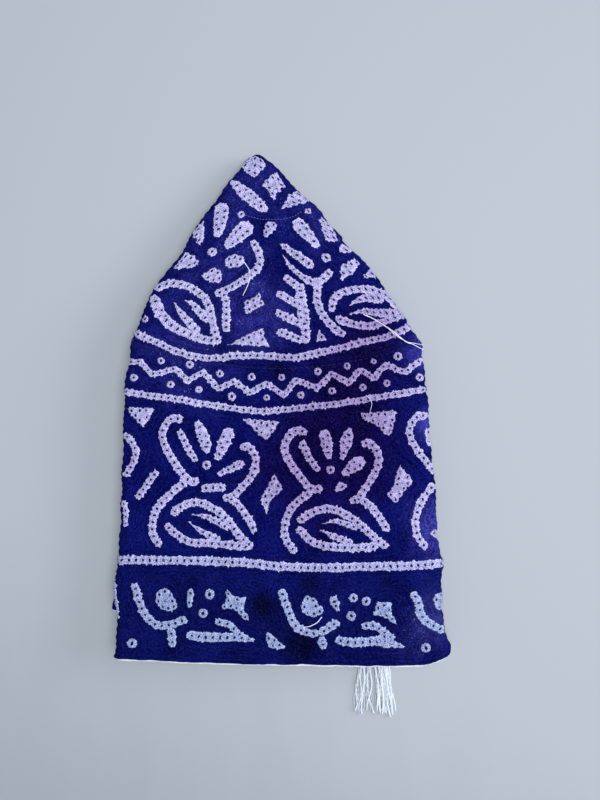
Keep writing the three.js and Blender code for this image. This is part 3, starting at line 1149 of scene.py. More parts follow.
@dataclass(frozen=True)
class Stroke:
    """A band of eyelets along a line: its width, picture points, and width shares along it."""

    width: float
    spots: tuple[Spot, ...]
    profile: tuple[float, ...] = (1.0,)
    sharp: bool = False
    pitch: float = 6.9

    def plate(self, rng: np.random.Generator) -> Plate:
        """Sweeps a low dome along the line; both ends close as half ellipses.

        Args:
            rng: Source of the uneven edge.

        Returns:
            The band.
        """
        line = round_spots(upright(self.spots), BAND_STEP, sharp=self.sharp)
        count, wide = len(line), len(BAND_COLUMNS)
        ahead = unit(np.gradient(line, axis=0))
        side = np.stack((-ahead[:, 1], ahead[:, 0]), -1)
        where = np.arange(count) * BAND_STEP
        to_end = np.minimum(where, where[-1] - where)
        close = np.sqrt(np.clip(1 - np.clip(1 - to_end / (0.26 * self.width), 0, 1) ** 2, 0.38, 1))
        shares = np.linspace(0, 1, count)
        full = 0.5 * self.width * np.interp(shares, np.linspace(0, 1, len(self.profile)), self.profile)
        half = np.maximum(full - PLATE_TRIM, 0.4) * close
        columns = np.array(BAND_COLUMNS)
        reach = half[:, None] * columns
        reach[:, 0] -= ragged(rng, count)
        reach[:, -1] += ragged(rng, count)
        spots = line[:, None] + reach[..., None] * side[:, None]
        spots[0] -= np.abs(rng.normal(0, 0.8, (wide, 1))) * ahead[0]
        spots[-1] += np.abs(rng.normal(0, 0.8, (wide, 1))) * ahead[-1]
        lifts = np.tile(PLATE_LIFT * np.array(BAND_LIFTS), count)
        around = (where[:, None] + 0.8 * reach) / RING_LENGTH
        coords = np.stack(np.broadcast_arrays(around, 0.5 + EDGE_REACH * np.abs(columns)), -1)
        corner = (np.arange(count - 1)[:, None] * wide + np.arange(wide - 1)).ravel()
        quads = np.stack((corner, corner + wide, corner + wide + 1, corner + 1), -1)
        edge = np.concatenate((spots[:, 0], spots[:, -1], spots[:1, wide // 2], spots[-1:, wide // 2]))
        outward = np.concatenate((-side, side, -ahead[:1], ahead[-1:]))
        return Plate(spots.reshape(-1, 2), lifts, coords.reshape(-1, 2), quads, np.zeros((0, 3), int),
                     edge, outward, self.eyelets(line, side, half, where))

    def eyelets(self, line: Array, side: Array, half: Array, where: Array) -> Eyelets:
        """Sets eyelets a pitch apart along the line, in two or three rows where the band is wide.

        Args:
            line: Points of the line.
            side: Unit directions across it.
            half: Half widths.
            where: Lengths along it.

        Returns:
            The eyelets of the band.
        """
        inset = min(0.42 * self.width, 0.4 * where[-1])
        spots, sizes, leans = [], [], []
        for rows in (1, 2, 3):
            steps = max(int(round((where[-1] - 2 * inset) / self.pitch)), 1)
            for k in range(rows):
                shift = 0.5 * (k % 2) if rows > 1 else 0.0
                keep = np.linspace(inset, where[-1] - inset, steps + 1) + shift * self.pitch
                keep = keep[keep < where[-1] - 0.25 * self.width]
                room = np.interp(keep, where, half)
                fits = (np.clip(np.floor(room * 2 / 5.2), 1, 3) == rows) & (room > 1.6)
                keep, room = keep[fits], room[fits]
                place, across = read_line(keep, where, line), read_line(keep, where, side)
                spots.append(place + ((k + 0.5) / rows * 2 - 1) * (room * 0.94)[:, None] * across)
                sizes.append(room / rows)
                leans.append(np.arctan2(-across[:, 0], across[:, 1]))
        size = np.concatenate(sizes)
        along = np.minimum(np.minimum(size * 1.05, 0.5 * self.pitch), 4.2)
        return Eyelets(np.concatenate(spots), along, np.minimum(size * 0.92, 4.4), np.concatenate(leans))


def blunted(corners: Array, cut: float = 2.2) -> Array:
    """Corners of a closed outline cut off: each becomes two points, at most a third along its sides.

    Args:
        corners: Corners, one row each.
        cut: Distance of the new points from a corner.

    Returns:
        The new corners.
    """
    ends = []
    for step in (1, -1):
        way = np.roll(corners, step, axis=0) - corners
        length = np.linalg.norm(way, axis=-1, keepdims=True)
        ends.append(corners + way * np.minimum(cut / length, 0.33))
    return np.stack(ends, axis=1).reshape(-1, 2)


@dataclass(frozen=True)
class Patch:
    """A filled shape: the picture points of its corners, in order."""

    corners: tuple[Spot, ...]
    rough: float = 1.0

    def plate(self, rng: np.random.Generator) -> Plate:
        """Rings of the outline, drawn in towards its middle, make a flat plate with a sloped edge.

        Args:
            rng: Source of the uneven edge.

        Returns:
            The plate.
        """
        corners = upright(self.corners)
        after = np.roll(corners, -1, axis=0)
        if np.sum(corners[:, 0] * after[:, 1] - after[:, 0] * corners[:, 1]) < 0:
            corners = corners[::-1]
        corners = blunted(corners)
        line = round_spots(corners, PATCH_STEP, closed=True, sharp=True)
        count, rings = len(line), len(PATCH_RINGS)
        ahead = unit(np.roll(line, -1, axis=0) - np.roll(line, 1, axis=0))
        out = np.stack((ahead[:, 1], -ahead[:, 0]), -1)
        edge = line + (self.rough * ragged(rng, count) - PLATE_TRIM)[:, None] * out
        inner = line - PLATE_TRIM * out
        middle = line.mean(axis=0)
        shares = np.array(PATCH_RINGS)
        spots = middle + shares[:, None, None] * (np.stack((edge, inner, inner, inner)) - middle)
        spots = np.vstack((spots.reshape(-1, 2), middle[None]))
        lifts = PLATE_LIFT * np.append(np.repeat(PATCH_LIFTS, count), 1.0)
        around = np.append(np.tile(np.arange(count) * PATCH_STEP / RING_LENGTH, rings), 0)
        coords = np.stack((around, np.append(np.repeat(0.5 + EDGE_REACH * shares, count), 0.5)), -1)
        tris = fan_faces((rings - 1) * count + np.arange(count), rings * count)
        return Plate(spots, lifts, coords, band_faces(rings, count), tris, edge, out, self.eyelets(corners))

    def eyelets(self, corners: Array) -> Eyelets:
        """Fills the shape with eyelets, each time at the roomiest bare place a pitch from the others.

        Args:
            corners: Corners of the outline.

        Returns:
            The eyelets, each as large as its distance to the outline lets it be.
        """
        pitch, full, least = 6.3, 3.6, 2.4
        low, high = corners.min(axis=0), corners.max(axis=0)
        nodes = np.meshgrid(*(np.arange(*ends, 0.8) for ends in zip(low, high)))
        grid = np.stack(nodes, -1).reshape(-1, 2)
        a, b, p = corners[None], np.roll(corners, -1, axis=0)[None], grid[:, None]
        (ax, ay), (bx, by), (px, py) = (np.moveaxis(part, -1, 0) for part in (a, b, p))
        crosses = ((ay > py) != (by > py)) & (px < (bx - ax) * (py - ay) / (by - ay + 1e-9) + ax)
        way = b - a
        share = np.clip(((p - a) * way).sum(-1) / (way ** 2).sum(-1), 0, 1)
        room = np.linalg.norm(p - a - share[..., None] * way, axis=-1).min(axis=1)
        inside = (crosses.sum(axis=1) % 2 == 1) & (room > least)
        grid, room = grid[inside], room[inside]
        far = np.full(len(grid), 2 * pitch)
        spots, sizes = [], []
        while np.any(far > pitch * 0.92):
            worth = np.where(far > pitch * 0.92, -np.abs(room - 3.4) - 0.35 * far, -np.inf)
            best = int(np.argmax(worth))
            far = np.minimum(far, np.linalg.norm(grid - grid[best], axis=1))
            spots.append(grid[best])
            sizes.append(min(room[best] - 0.2, full))
        size = np.array(sizes)
        return Eyelets(np.array(spots).reshape(-1, 2), size, size, np.zeros(len(size)))


@dataclass(frozen=True)
class Dot:
    """One eyelet by itself."""

    spot: Spot
    width: float = 8.5

    def plate(self, rng: np.random.Generator) -> Plate:
        """A round patch with one eyelet.

        Args:
            rng: Source of the uneven edge.

        Returns:
            The plate.
        """
        turn = np.linspace(0, 2 * math.pi, 10, endpoint=False)
        x, y = self.spot
        half = 0.5 * self.width + PLATE_TRIM - 0.05
        plate = Patch(tuple((x + half * math.cos(t), y + half * math.sin(t)) for t in turn), 0.5).plate(rng)
        half = np.array([0.44 * self.width])
        return replace(plate, eyelets=Eyelets(upright((self.spot,)), half, half, np.zeros(1)))


# Motifs, charted as places in the 600 x 800 picture; a band may end in shares of its width
PETAL = (0.66, 0.7, 0.82, 0.95, 1.0, 1.0, 0.94)
FLOWER_LEFT = (
    Stroke(10, ((182, 419.5), (172, 418.5), (164, 428), (162.5, 438), (168.5, 453), (179, 469), (190, 481),
                (198, 480))),
    Stroke(10, ((186, 481.5), (170.7, 494), (157, 509), (152.3, 527), (155, 539), (160.5, 545))),
    Stroke(9, ((180, 431), (187, 446), (196, 461))),
    Stroke(14, ((197.5, 421.5), (203, 436), (208, 452.5)), (0.6, 0.85, 1, 0.95, 0.6)),
    Stroke(14.5, ((217, 459.5), (230, 429)), PETAL),
    Stroke(9.8, ((219, 474), (243.5, 462.5)), (0.75, 0.85, 1, 1, 0.9)),
    Stroke(10.5, ((202, 488.5), (225, 487))),
    Dot((206.5, 465), 9.5),
    Stroke(9.5, ((241, 447.5), (248, 447), (254.6, 455), (255.8, 465), (251, 477), (241, 488),
                 (235.8, 494), (223.8, 499))),
    Stroke(9.5, ((228, 497), (236, 502.5), (243, 511), (250, 522), (254.5, 531.5))),
    Stroke(10, ((172, 514), (180.5, 507), (190, 503), (201, 503), (212, 507.5), (227, 519), (238, 534),
                (252, 547))),
    Stroke(9, ((192, 514.5), (207.6, 517), (228, 528)), (0.15, 0.75, 1, 1)),
    Stroke(10, ((166, 525), (178, 535), (190, 541.5), (205, 543), (225, 544.5), (250, 547))),
    Stroke(8.5, ((189, 522), (199, 529.5), (219, 540)), (0.15, 0.8, 1, 1)),
)
FLOWER_RIGHT = (
    Stroke(10, ((306, 433), (299, 430.3), (290, 434.5), (284.7, 447), (288, 459), (299, 474.5),
                (311, 488.5), (321.5, 488))),
    Stroke(10, ((311, 492), (297, 502), (288, 514.5), (284.5, 531), (288, 543), (295.5, 552))),
    Stroke(9, ((301.5, 442), (309, 457), (318, 470.5))),
    Stroke(13.5, ((329.3, 458), (324, 430.5)), PETAL),
    Stroke(14, ((342, 458.5), (349.8, 429)), (0.55, 0.66, 0.84, 1, 1, 0.85, 0.6)),
    Stroke(15, ((343, 474), (363, 459.2)), PETAL),
    Patch(((336, 481), (342, 480), (350, 487), (341, 491), (334, 495))),
    Dot((330.6, 469.7), 9),
    Stroke(9.5, ((362, 444), (370, 443.3), (377.5, 453), (378, 464.8), (372, 478.5), (363, 491.5),
                 (358, 498.5), (351, 501.5))),
    Stroke(9.5, ((355, 497.5), (364, 501.5), (372, 507.5), (380, 518), (387.5, 530))),
    Stroke(10, ((298.5, 521), (308.8, 514.5), (318.5, 510), (328, 508.5), (342, 513), (357, 522),
                (374, 537.5), (387, 547))),
    Stroke(8.5, ((323, 523.5), (337, 521.5), (357, 528)), (0.15, 0.8, 1, 1)),
    Stroke(10, ((297.5, 528), (305, 535), (313, 542.5), (328, 546.6), (352.5, 547.8), (377, 546))),
    Stroke(8.5, ((321, 530), (335, 537), (352, 543.5)), (0.15, 0.8, 1, 1)),
)
WALL_FIELD = (
    Patch(((124, 407), (156.5, 407.5), (143.6, 430))),
    Patch(((240, 417.5), (282, 421), (266.3, 442))),
    Patch(((360, 412.5), (368, 412), (398, 409.5), (394.5, 424), (390, 439), (376, 426), (365, 420),
           (360, 417))),
    Stroke(9, ((125, 434), (131.7, 442), (136, 453), (132.5, 464.5), (125.5, 476))),
    Stroke(9, ((157, 471.5), (137.5, 497.5))),
    Stroke(7, ((124, 501), (126.3, 512), (125, 526))),
    Patch(((274, 471.5), (284, 489), (275.5, 497), (270, 501), (267, 517.5), (262, 505), (260, 498),
           (266, 489))),
    Patch(((399.7, 463.5), (415, 480.6), (406, 490), (396, 505), (385, 494), (393, 486.6), (395.5, 474.5))),
    Stroke(9.5, ((427, 415.5), (418, 416.4), (410.5, 426), (409.8, 435), (416.6, 449), (427, 462.7),
                 (434, 472))),
    Stroke(9.5, ((433, 484.5), (421.5, 501), (416, 516), (415.5, 526), (418, 536), (426, 548.5))),
    Stroke(7, ((428, 429), (430, 445))),
    Patch(((430, 530), (438, 528), (439, 540), (433, 538))),
)
LINES_ROUND = (
    Stroke(9, ((135, 333), (155, 341.5), (177, 351.5), (199, 357), (218, 358), (240, 355.5), (270, 356),
               (294, 357.5), (318, 353), (340, 348), (362, 342), (386, 337), (414, 325.5))),
    Stroke(8.6, ((124, 391.3), (149, 395.5), (175, 398.7), (199, 403), (245, 410), (270, 411),
                 (306, 407.3), (343, 403), (379, 397), (426, 389.3))),
    Stroke(10.8, ((118, 559.8), (186, 560.5), (218, 561.5), (251, 563.2), (280, 566.4), (306, 567.8),
                  (343, 567.2), (415, 565.4), (443, 562.8))),
    Stroke(8, ((128, 362.4), (140, 361.5), (151, 373.5), (157, 374), (175, 368.4), (188, 380.5),
               (203, 372), (218.4, 388.6), (234.7, 381.5), (250, 393), (266, 383.3), (284.5, 395.5),
               (295.4, 379.8), (317.3, 388), (331.8, 373.7), (349, 382.6), (359.7, 370), (374.2, 378.3),
               (385, 364.6), (404.5, 372.3), (421, 359.5)), sharp=True),
)
ZIGZAG_DOTS = tuple(Dot((x, y), width) for x, y, width in (
    (161, 360.8, 7.6), (189.7, 364.6, 8.6), (220, 373.8, 7.8), (251.5, 377, 8.4), (281.5, 377.5, 7.2),
    (317.9, 371.5, 8.2), (346.9, 366, 7.4), (373.6, 361.5, 6.2), (397.8, 356.3, 9), (134.4, 377.6, 8.2),
    (170.7, 384.6, 8), (198.9, 389.5, 7.8), (232, 396.5, 8.8), (266.7, 397.6, 7), (300.9, 395.1, 8),
    (331.8, 390.9, 8.2), (362.7, 387.2, 7.6), (386.9, 383, 7.6), (419.6, 377.5, 8)))
RIM_LEFT = (
    Stroke(10, ((135, 584), (139.5, 601), (146.5, 616), (157, 625), (170.7, 624.5), (186, 619))),
    Stroke(10, ((171.3, 629), (173, 646))),
    Patch(((157.5, 588.5), (167, 587), (173.5, 594), (178.5, 607), (173, 612.5), (161, 610.5), (154, 600))),
    Stroke(9.5, ((191, 589), (190, 598), (189, 607)), (0.8, 1, 0.9, 0.6)),
    Dot((209.7, 594.2), 10.5),
    Dot((203.2, 613.1), 10),
    Patch(((227, 586.5), (232.5, 594.5), (240, 596.5), (246, 595.5), (247.5, 602), (243, 606.5),
           (251, 620), (246.5, 622.5), (238, 613.5), (231.5, 608.5), (224, 610.5), (220, 606.5), (226, 601),
           (224.5, 594))),
    Stroke(11.5, ((187, 635), (205, 637), (240, 637.5), (253, 641)), (0.95, 1, 1, 1, 0.95, 0.45)),
    Stroke(8.5, ((216, 621.5), (229, 624.5), (242, 637))),
    Dot((132.2, 643.5), 10.5),
    Stroke(5.4, ((116.5, 571), (117.3, 590), (118, 604), (118.3, 618)), (0.6, 1, 1, 0.6)),
    Patch(((264.5, 632.5), (270, 631), (278, 639), (288, 648), (279, 651), (267, 647))),
)
RIM_RIGHT = (
    Stroke(10.3, ((281, 590), (287, 606.5), (293, 621.8), (303, 631.5), (318, 634))),
    Stroke(10.4, ((320, 633.5), (329, 628), (337.5, 621.5))),
    Stroke(10, ((321.5, 637), (323.5, 648.5))),
    Patch(((305.5, 595.5), (311.5, 595.5), (317, 599.5), (318.5, 605.5), (322.5, 605), (325, 609),
           (321, 615.5), (314, 618), (306.5, 616.5), (301.5, 610.5), (300, 603.5))),
    Stroke(11.6, ((333, 597), (334.5, 602), (337.5, 610)), (0.85, 1, 0.8, 0.5)),
    Dot((353.4, 598), 9.5),
    Dot((366.2, 601.6), 10),
    Dot((351.2, 615.8), 10),
    Patch(((375, 600.5), (379, 599.5), (383, 602.5), (391, 599.5), (393.5, 605.5), (391, 610.5),
           (398.5, 624), (395, 626), (386, 618.5), (380.5, 616), (374.5, 616.5), (370.5, 612.5),
           (375.5, 608.5))),
    Stroke(11, ((336, 640), (355, 642.4), (374, 641.2), (391, 643), (403, 647.2)), (1, 1, 1, 1, 0.95, 0.5)),
    Patch(((375, 636), (384, 631.5), (392, 637.5), (401, 646), (392, 648.5), (378, 647))),
    Stroke(9.8, ((362, 626), (374, 625.6), (384, 632), (393, 639))),
    Stroke(10.4, ((412.5, 592.5), (418.5, 603), (421, 615), (431, 624.5), (444, 630.5))),
    Patch(((433, 595), (438, 591.5), (445, 592), (445, 611), (438, 610.5), (433, 604))),
    Dot((425.7, 647.8), 10),
)
CROWN_TOP = (
    Patch(((246, 156.5), (259.5, 155.5), (268.5, 165), (254, 180), (240.5, 168))),
    Patch(((276, 170), (286, 185.6), (278.5, 192), (273.3, 204), (268, 192), (260.5, 185))),
    Stroke(15, ((232, 181.5), (248, 195.5), (266, 210.5)), (0.5, 0.8, 1, 1, 0.85, 0.6)),
    Patch(((278, 210.5), (289.5, 194), (298, 189.5), (311, 201.8))),
)
CROWN_LEFT = (
    Stroke(17, ((217.5, 236.5), (223, 204)), PETAL),
    Dot((241.4, 214.6), 7.4),
    Stroke(17.5, ((226, 247), (250, 224)), PETAL),
    Patch(((205.5, 217.5), (205.5, 238), (199, 247.5), (192, 233))),
    Dot((212.3, 251.9), 9.5),
    Patch(((186, 250), (200.5, 261.5), (195.5, 268.5), (170.5, 270.5))),
    Patch(((223, 259), (233, 253), (245, 257), (246, 264), (236, 269), (226, 268))),
    Patch(((199, 276), (213.8, 266), (224, 273.3), (220.5, 284.5), (207.5, 282))),
    Stroke(9.8, ((252.5, 241), (259.5, 256), (258, 267.5), (246, 278.5), (230.5, 287.5), (216, 294.5))),
    Stroke(9.5, ((222, 291.5), (226, 301), (226.3, 314), (226, 331.5))),
    Stroke(9.8, ((157, 289), (168.5, 284), (180, 284.3), (192, 288.5), (204, 297.5), (211, 312),
                 (213.5, 326), (218.5, 343))),
    Stroke(13, ((154.5, 296.5), (160, 312), (171, 325), (186, 333), (203, 339), (217, 341.5)),
           (0.9, 1, 0.95, 0.85, 0.8, 0.8)),
    Stroke(10.5, ((174.5, 303), (184, 317), (198, 332)), (0.3, 0.8, 1, 1)),
    Stroke(10, ((186, 300.5), (194, 305.5), (208, 321)), (0.3, 0.85, 1, 1)),
    Patch(((146.5, 311.5), (150.5, 324), (139.5, 321.5))),
    Patch(((260, 290), (261.5, 299), (265.3, 302.8), (262.3, 307), (254.5, 310.5), (246, 316.5),
           (243, 311.4), (245, 308.2), (242.5, 300), (250.5, 299.3))),
    Patch(((224.5, 345.5), (263.5, 326), (265, 339), (272.5, 347))),
)
CROWN_RIGHT = (
    Stroke(14, ((299.5, 285), (301, 297), (303, 314), (305.5, 330), (306, 343)),
           (0.75, 0.88, 1, 0.85, 0.72)),
    Stroke(10, ((284.5, 277), (303, 289.5))),
    Stroke(10, ((277.5, 293), (298, 304.5))),
    Stroke(10, ((276.5, 312), (301, 324.5))),
    Stroke(10, ((278, 331.3), (302, 340.2))),
    Patch(((317.9, 327.5), (329.5, 341.3), (314.7, 343))),
    Stroke(10.2, ((283, 255.5), (289.4, 265), (297, 272.5), (304.7, 278.2), (313, 282.3), (321, 280.5),
                  (331, 271)), (0.3, 0.62, 0.74, 0.95, 1, 1)),
    Stroke(9.8, ((318.5, 280), (317, 296), (320, 309), (329, 323), (344, 335.5))),
    Stroke(11, ((282, 244.5), (312.5, 266.5)), PETAL),
    Stroke(15, ((318, 246.5), (295.5, 221)), PETAL),
    Patch(((319.5, 214), (331.5, 223.5), (338, 238), (338, 242.8), (326.5, 242.8), (321, 230.2))),
    Patch(((338, 246.5), (344.5, 241.8), (357, 252), (341, 254.5))),
    Patch(((354.7, 257), (361, 262.9), (354.5, 273), (340.7, 282.3), (339, 265), (347.6, 262.5))),
    Patch(((361.5, 279), (368, 268.5), (371.5, 266), (377.5, 279))),
    Dot((326.1, 257.8), 9.5),
    Patch(((302, 211.5), (312, 206), (310, 216.8))),
    Patch(((265.8, 220), (277.5, 221.8), (277.5, 228.5), (266.5, 239.3), (262, 236.8), (263.6, 229))),
    Stroke(9.8, ((332, 311), (332.2, 303.5), (336, 297), (344, 292), (354, 289.7), (367, 289.3),
                 (380, 292.5), (391, 299), (399, 308))),
    Stroke(12, ((349.5, 305.5), (358, 300.5), (368, 297.8), (384, 298.6)), (0.2, 0.75, 1, 1)),
    Stroke(11, ((350, 314), (362, 311.5), (375, 312.5), (404, 314)), (0.2, 0.8, 1, 1)),
    Stroke(9.6, ((336.5, 318), (345, 321.6), (354, 324.2), (364, 326), (377, 324), (405, 314))),
)
FRONT_CHART = (*FLOWER_LEFT, *FLOWER_RIGHT, *WALL_FIELD, *LINES_ROUND, *ZIGZAG_DOTS, *RIM_LEFT, *RIM_RIGHT,
               *CROWN_TOP, *CROWN_LEFT, *CROWN_RIGHT)
# Loose thread ends, each with its radius, and the arc that is sewn across the crown
LOOSE_ENDS = (
    (0.17, ((244, 262), (249.5, 272), (249, 284), (243.5, 296))),
    (0.19, ((363, 315), (377, 321), (391, 331), (401, 339.5), (413, 345.5), (423, 351))),
    (0.15, ((386, 327), (398, 338), (409, 342.5), (420, 346))),
    (0.10, ((366, 395), (371, 402.5), (370, 413))),
    (0.18, ((321.5, 616.5), (317, 621.5), (312, 624.8), (306, 625.6), (303, 626.6), (305, 629.5))),
)
ARC_STEP = 0.25
CROWN_ARC = ((236, 213.5), (254, 217.5), (270, 219.5), (290, 218), (305, 210))


@dataclass
class EchoField:
    """Distance to the nearest white stitching, seam or rim, on a grid over the front."""

    shape: FoldedShape
    cell: float = 0.8
    low_x: float = -78.0
    low_up: float = -4.0
    columns: int = 196
    rows: int = 290
    edge_share: float = 0.972
    leaf_lines: tuple[float, ...] = (0.0, 43.0, 110.5, 130.0, 135.5)
    leaf_half: float = 2.0
    wander: float = 0.6
    margin: float = 0.4

    def fill(self, edge: Array, outward: Array) -> None:
        """Works out the distance at every node; it is negative inside the stitching.

        The sign is that of the way from the nearest edge point along the edge's outward direction. Away
        from the edges a product of sines lets the lines waver.

        Args:
            edge: Points on the edges of the white stitching, across and up.
            outward: Unit directions out of it.
        """
        x = self.low_x + self.cell * np.arange(self.columns)
        up = self.low_up + self.cell * np.arange(self.rows)
        nodes = np.stack(np.meshgrid(x, up), -1).reshape(-1, 2).astype(np.float32)
        edge = edge.astype(np.float32)
        square = (edge ** 2).sum(axis=-1)
        nearest = np.concatenate([np.argmin(square[None] - 2 * part @ edge.T, axis=1)
                                  for part in np.array_split(nodes, 64)])
        way = nodes - edge[nearest]
        sign = np.where((way * outward[nearest]).sum(axis=-1) < 0, -1, 1)
        distance = (sign * np.linalg.norm(way, axis=-1)).reshape(self.rows, self.columns)
        x, up = (part.reshape(self.rows, self.columns).astype(float) for part in nodes.T)
        level = self.shape.level_at(self.shape.turn_at(x, up), up)
        others = np.minimum(level, np.abs(level - self.shape.seam_height))
        values = np.where(distance > 0, np.minimum(distance, others), distance)
        waver = np.sin(x / 4.3 + 1.7 * np.sin(up / 7.1)) * np.sin(up / 3.9 + 1.3 * np.sin(x / 6.3))
        self.values = values + self.wander * waver * smooth_step(values, 0.6, 3.0)
        inside = np.abs(self.shape.share_of(x, up)) < self.edge_share
        self.covered = inside & (level > 0.3) & (up < self.shape.table["up"][-1] - 3)
        self.slope_up, self.slope_x = np.gradient(self.values, self.cell)

    def read(self, grid: Array, x: Array, up: Array) -> Array:
        """Values of a grid at places of the front."""
        return read_grid(grid, (up - self.low_up) / self.cell, (x - self.low_x) / self.cell)

    def on_cloth(self, turn: Array, up: Array, level: Array) -> Array:
        """Distance at any place of the cloth; tucked layers have only the lines that run round the cap.

        Args:
            turn: Turns round the section.
            up: Heights above the rim.
            level: Rows of the cloth.

        Returns:
            Distances.
        """
        shape = self.shape
        x = shape.place(turn, up)[0]
        away = np.min(np.abs(level[..., None] - np.array(self.leaf_lines)), axis=-1) - self.leaf_half
        around = shape.centred(turn)
        (front_start, front_end), (back_start, back_end) = shape.front_turns, shape.back_turns
        on_front = (around > front_start + self.margin) & (around < front_end - self.margin)
        on_back = (turn > back_start + self.margin) & (turn < back_end - self.margin)
        back_x, back_up = shape.ahead(turn, up)
        found = np.where(on_back, self.read(self.values, back_x, back_up), away)
        return np.where(on_front, self.read(self.values, x, up), found)

    def contours(self) -> tuple[Array, Array, Array]:
        """Lines of equal distance, a line gap apart, as short stretches across the cells of the grid.

        On each side of a cell the line crosses where a whole number of gaps lies between its two
        nodes; a cell with two crossings of one number holds one stretch.

        Returns:
            Crossings, across and up; pairs of crossing numbers; and the line's number at each crossing.
        """
        steps = np.where(self.covered, (self.values - FIRST_LINE) / LINE_GAP, np.nan)
        crossings, numbers, ids = [], [], []
        count = 0
        for axis in (1, 0):
            near = steps[:, :-1] if axis else steps[:-1]
            far = steps[:, 1:] if axis else steps[1:]
            number = np.floor(np.fmax(near, far))
            with np.errstate(invalid="ignore", divide="ignore"):
                hit = (number > np.minimum(near, far)) & (number >= 0)
                share = (number - near) / (far - near)
            row, column = np.nonzero(hit)
            t = share[hit]
            x = self.low_x + self.cell * (column + (t if axis else 0))
            up = self.low_up + self.cell * (row + (0 if axis else t))
            crossings.append(np.stack((x, up), -1))
            numbers.append(number[hit])
            grid = np.full(near.shape, -1)
            grid[hit] = count + np.arange(len(row))
            ids.append(grid)
            count += len(row)
        across, upward = ids
        sides = np.stack((across[:-1], across[1:], upward[:, :-1], upward[:, 1:]), -1).reshape(-1, 4)
        pair = np.sort(sides[(sides >= 0).sum(axis=1) == 2], axis=1)[:, 2:]
        numbers = np.concatenate(numbers)
        pair = pair[numbers[pair[:, 0]] == numbers[pair[:, 1]]]
        return np.concatenate(crossings), pair, numbers


@dataclass
class Cloth:
    """The two pieces of stitched cotton: how closely their skins are sampled, and what they are cut to."""

    shape: FoldedShape
    echo: EchoField
    front_steps: int = 26
    back_steps: int = 12
    leaf_steps: int = 4
    fold_steps: int = 7
    row_gap: float = 0.9
    inner_row_gap: float = 4.0
    seam_gap: float = 0.3
    tip_radius: float = 0.3
    plain_echo: float = 6.0
    plain_hem: float = 50.0
    wall_flat: tuple[float, float] = (0.56, 0.135)
    crown_flat: tuple[float, float] = (0.19, 0.19)
    crown_area: float = 0.0245

    def turns(self) -> Array:
        """Turns of the columns: close together on the front and at folds, wider apart inside.

        Returns:
            Turns round the section.
        """
        steps = []
        for layer in LAYERS:
            panel = {"front": self.front_steps, "back": self.back_steps}.get(layer.level, self.leaf_steps)
            spans = len(layer.shares) + 1
            steps += [self.fold_steps, *[panel] * spans, self.fold_steps, self.fold_steps]
        starts = np.repeat(np.arange(len(steps)), steps)
        inside = np.concatenate([np.arange(count) / count for count in steps])
        return starts + inside

    def build(self, name: str, levels: Array, inner_levels: Array,
              materials: Sequence[Material], tip: bool) -> Piece:
        """Makes one piece of cloth: an outside skin, an inside skin, and the edges that join them.

        Args:
            name: Name of the piece.
            levels: Rows of the outside, from the mouth up.
            inner_levels: Rows of the inside.
            materials: Outside and inside finishes.
            tip: True for the crown, which closes at its tip.

        Returns:
            The piece.
        """
        shape, turns = self.shape, self.turns()
        columns = len(turns)
        grids = [np.meshgrid(rows, turns, indexing="ij") for rows in (levels, inner_levels)]
        ups = [shape.up_of(grid_turns, grid_levels) for grid_levels, grid_turns in grids]
        outside = shape.points(grids[0][1], ups[0])
        inside = shape.points(grids[1][1], ups[1], shape.cloth)
        rows, inner_rows = len(levels), len(inner_levels)
        points = np.vstack((outside.reshape(-1, 3), inside.reshape(-1, 3)))
        first_inner = rows * columns
        ring = np.arange(columns)
        faces = [band_faces(rows, columns), band_faces(inner_rows, columns, first_inner, inward=True),
                 join_faces(first_inner + ring, ring)]
        slots = [0, 1, 0]
        last = (rows - 1) * columns + ring
        last_inner = first_inner + (inner_rows - 1) * columns + ring
        if tip:
            top = SECTIONS[-1]
            end = np.array((top.middle, shape.tip_height, top.stack / 2)) + shape.origin
            points = np.vstack((points, end[None]))
            faces += [fan_faces(last, len(points) - 1), last_inner[None]]
            slots += [0, 1]
        else:
            faces.append(join_faces(last, last_inner))
            slots.append(0)
        piece = make_mesh(name, points, faces, materials, slots)
        distance = np.full(len(points), self.plain_echo)
        distance[:first_inner] = self.echo.on_cloth(grids[0][1], ups[0], grids[0][0]).ravel()
        set_attribute(piece, "echo", distance)
        hem = np.full(len(points), self.plain_hem)
        hem[:first_inner] = grids[0][0].ravel()
        hem[first_inner:first_inner + columns] = levels[0]
        across, upward, _ = (points - shape.origin).T
        set_attribute(piece, "hem", hem)
        past = np.maximum(turns - shape.front_turns[1], 0)
        past = np.minimum(past, np.maximum(shape.spans + shape.front_turns[0] - turns, 0))
        share = np.resize(np.interp(past, (0.0, 1.0), (1.0, BACK_CLOUD)), len(points))
        set_clouds(piece, across, upward, share)
        return piece

    def side_wall(self, materials: Sequence[Material]) -> Piece:
        """Args:
            materials: Outside and inside finishes.

        Returns:
            The wall.
        """
        top = self.shape.seam_height - self.seam_gap / 2
        levels = np.concatenate(([0, 0.25, 0.5], np.linspace(0.9, top, int(top / self.row_gap))))
        inner = np.linspace(0, top, int(top / self.inner_row_gap))
        piece = self.build("side_wall_cloth", levels, inner, materials, tip=False)
        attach(piece, BODY)
        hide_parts("side_wall")
        return piece

    def crown(self, materials: Sequence[Material]) -> Piece:
        """Args:
            materials: Outside and inside finishes.

        Returns:
            The crown.
        """
        low = self.shape.seam_height + self.seam_gap / 2
        high = self.shape.tip_height - self.tip_radius
        levels = np.linspace(low, high, int((high - low) / self.row_gap))
        end = self.shape.hollow_end
        inner = np.linspace(low, end, int((end - low) / self.inner_row_gap))
        piece = self.build("crown_cloth", levels, inner, materials, tip=True)
        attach(piece, BODY)
        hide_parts("crown")
        return piece


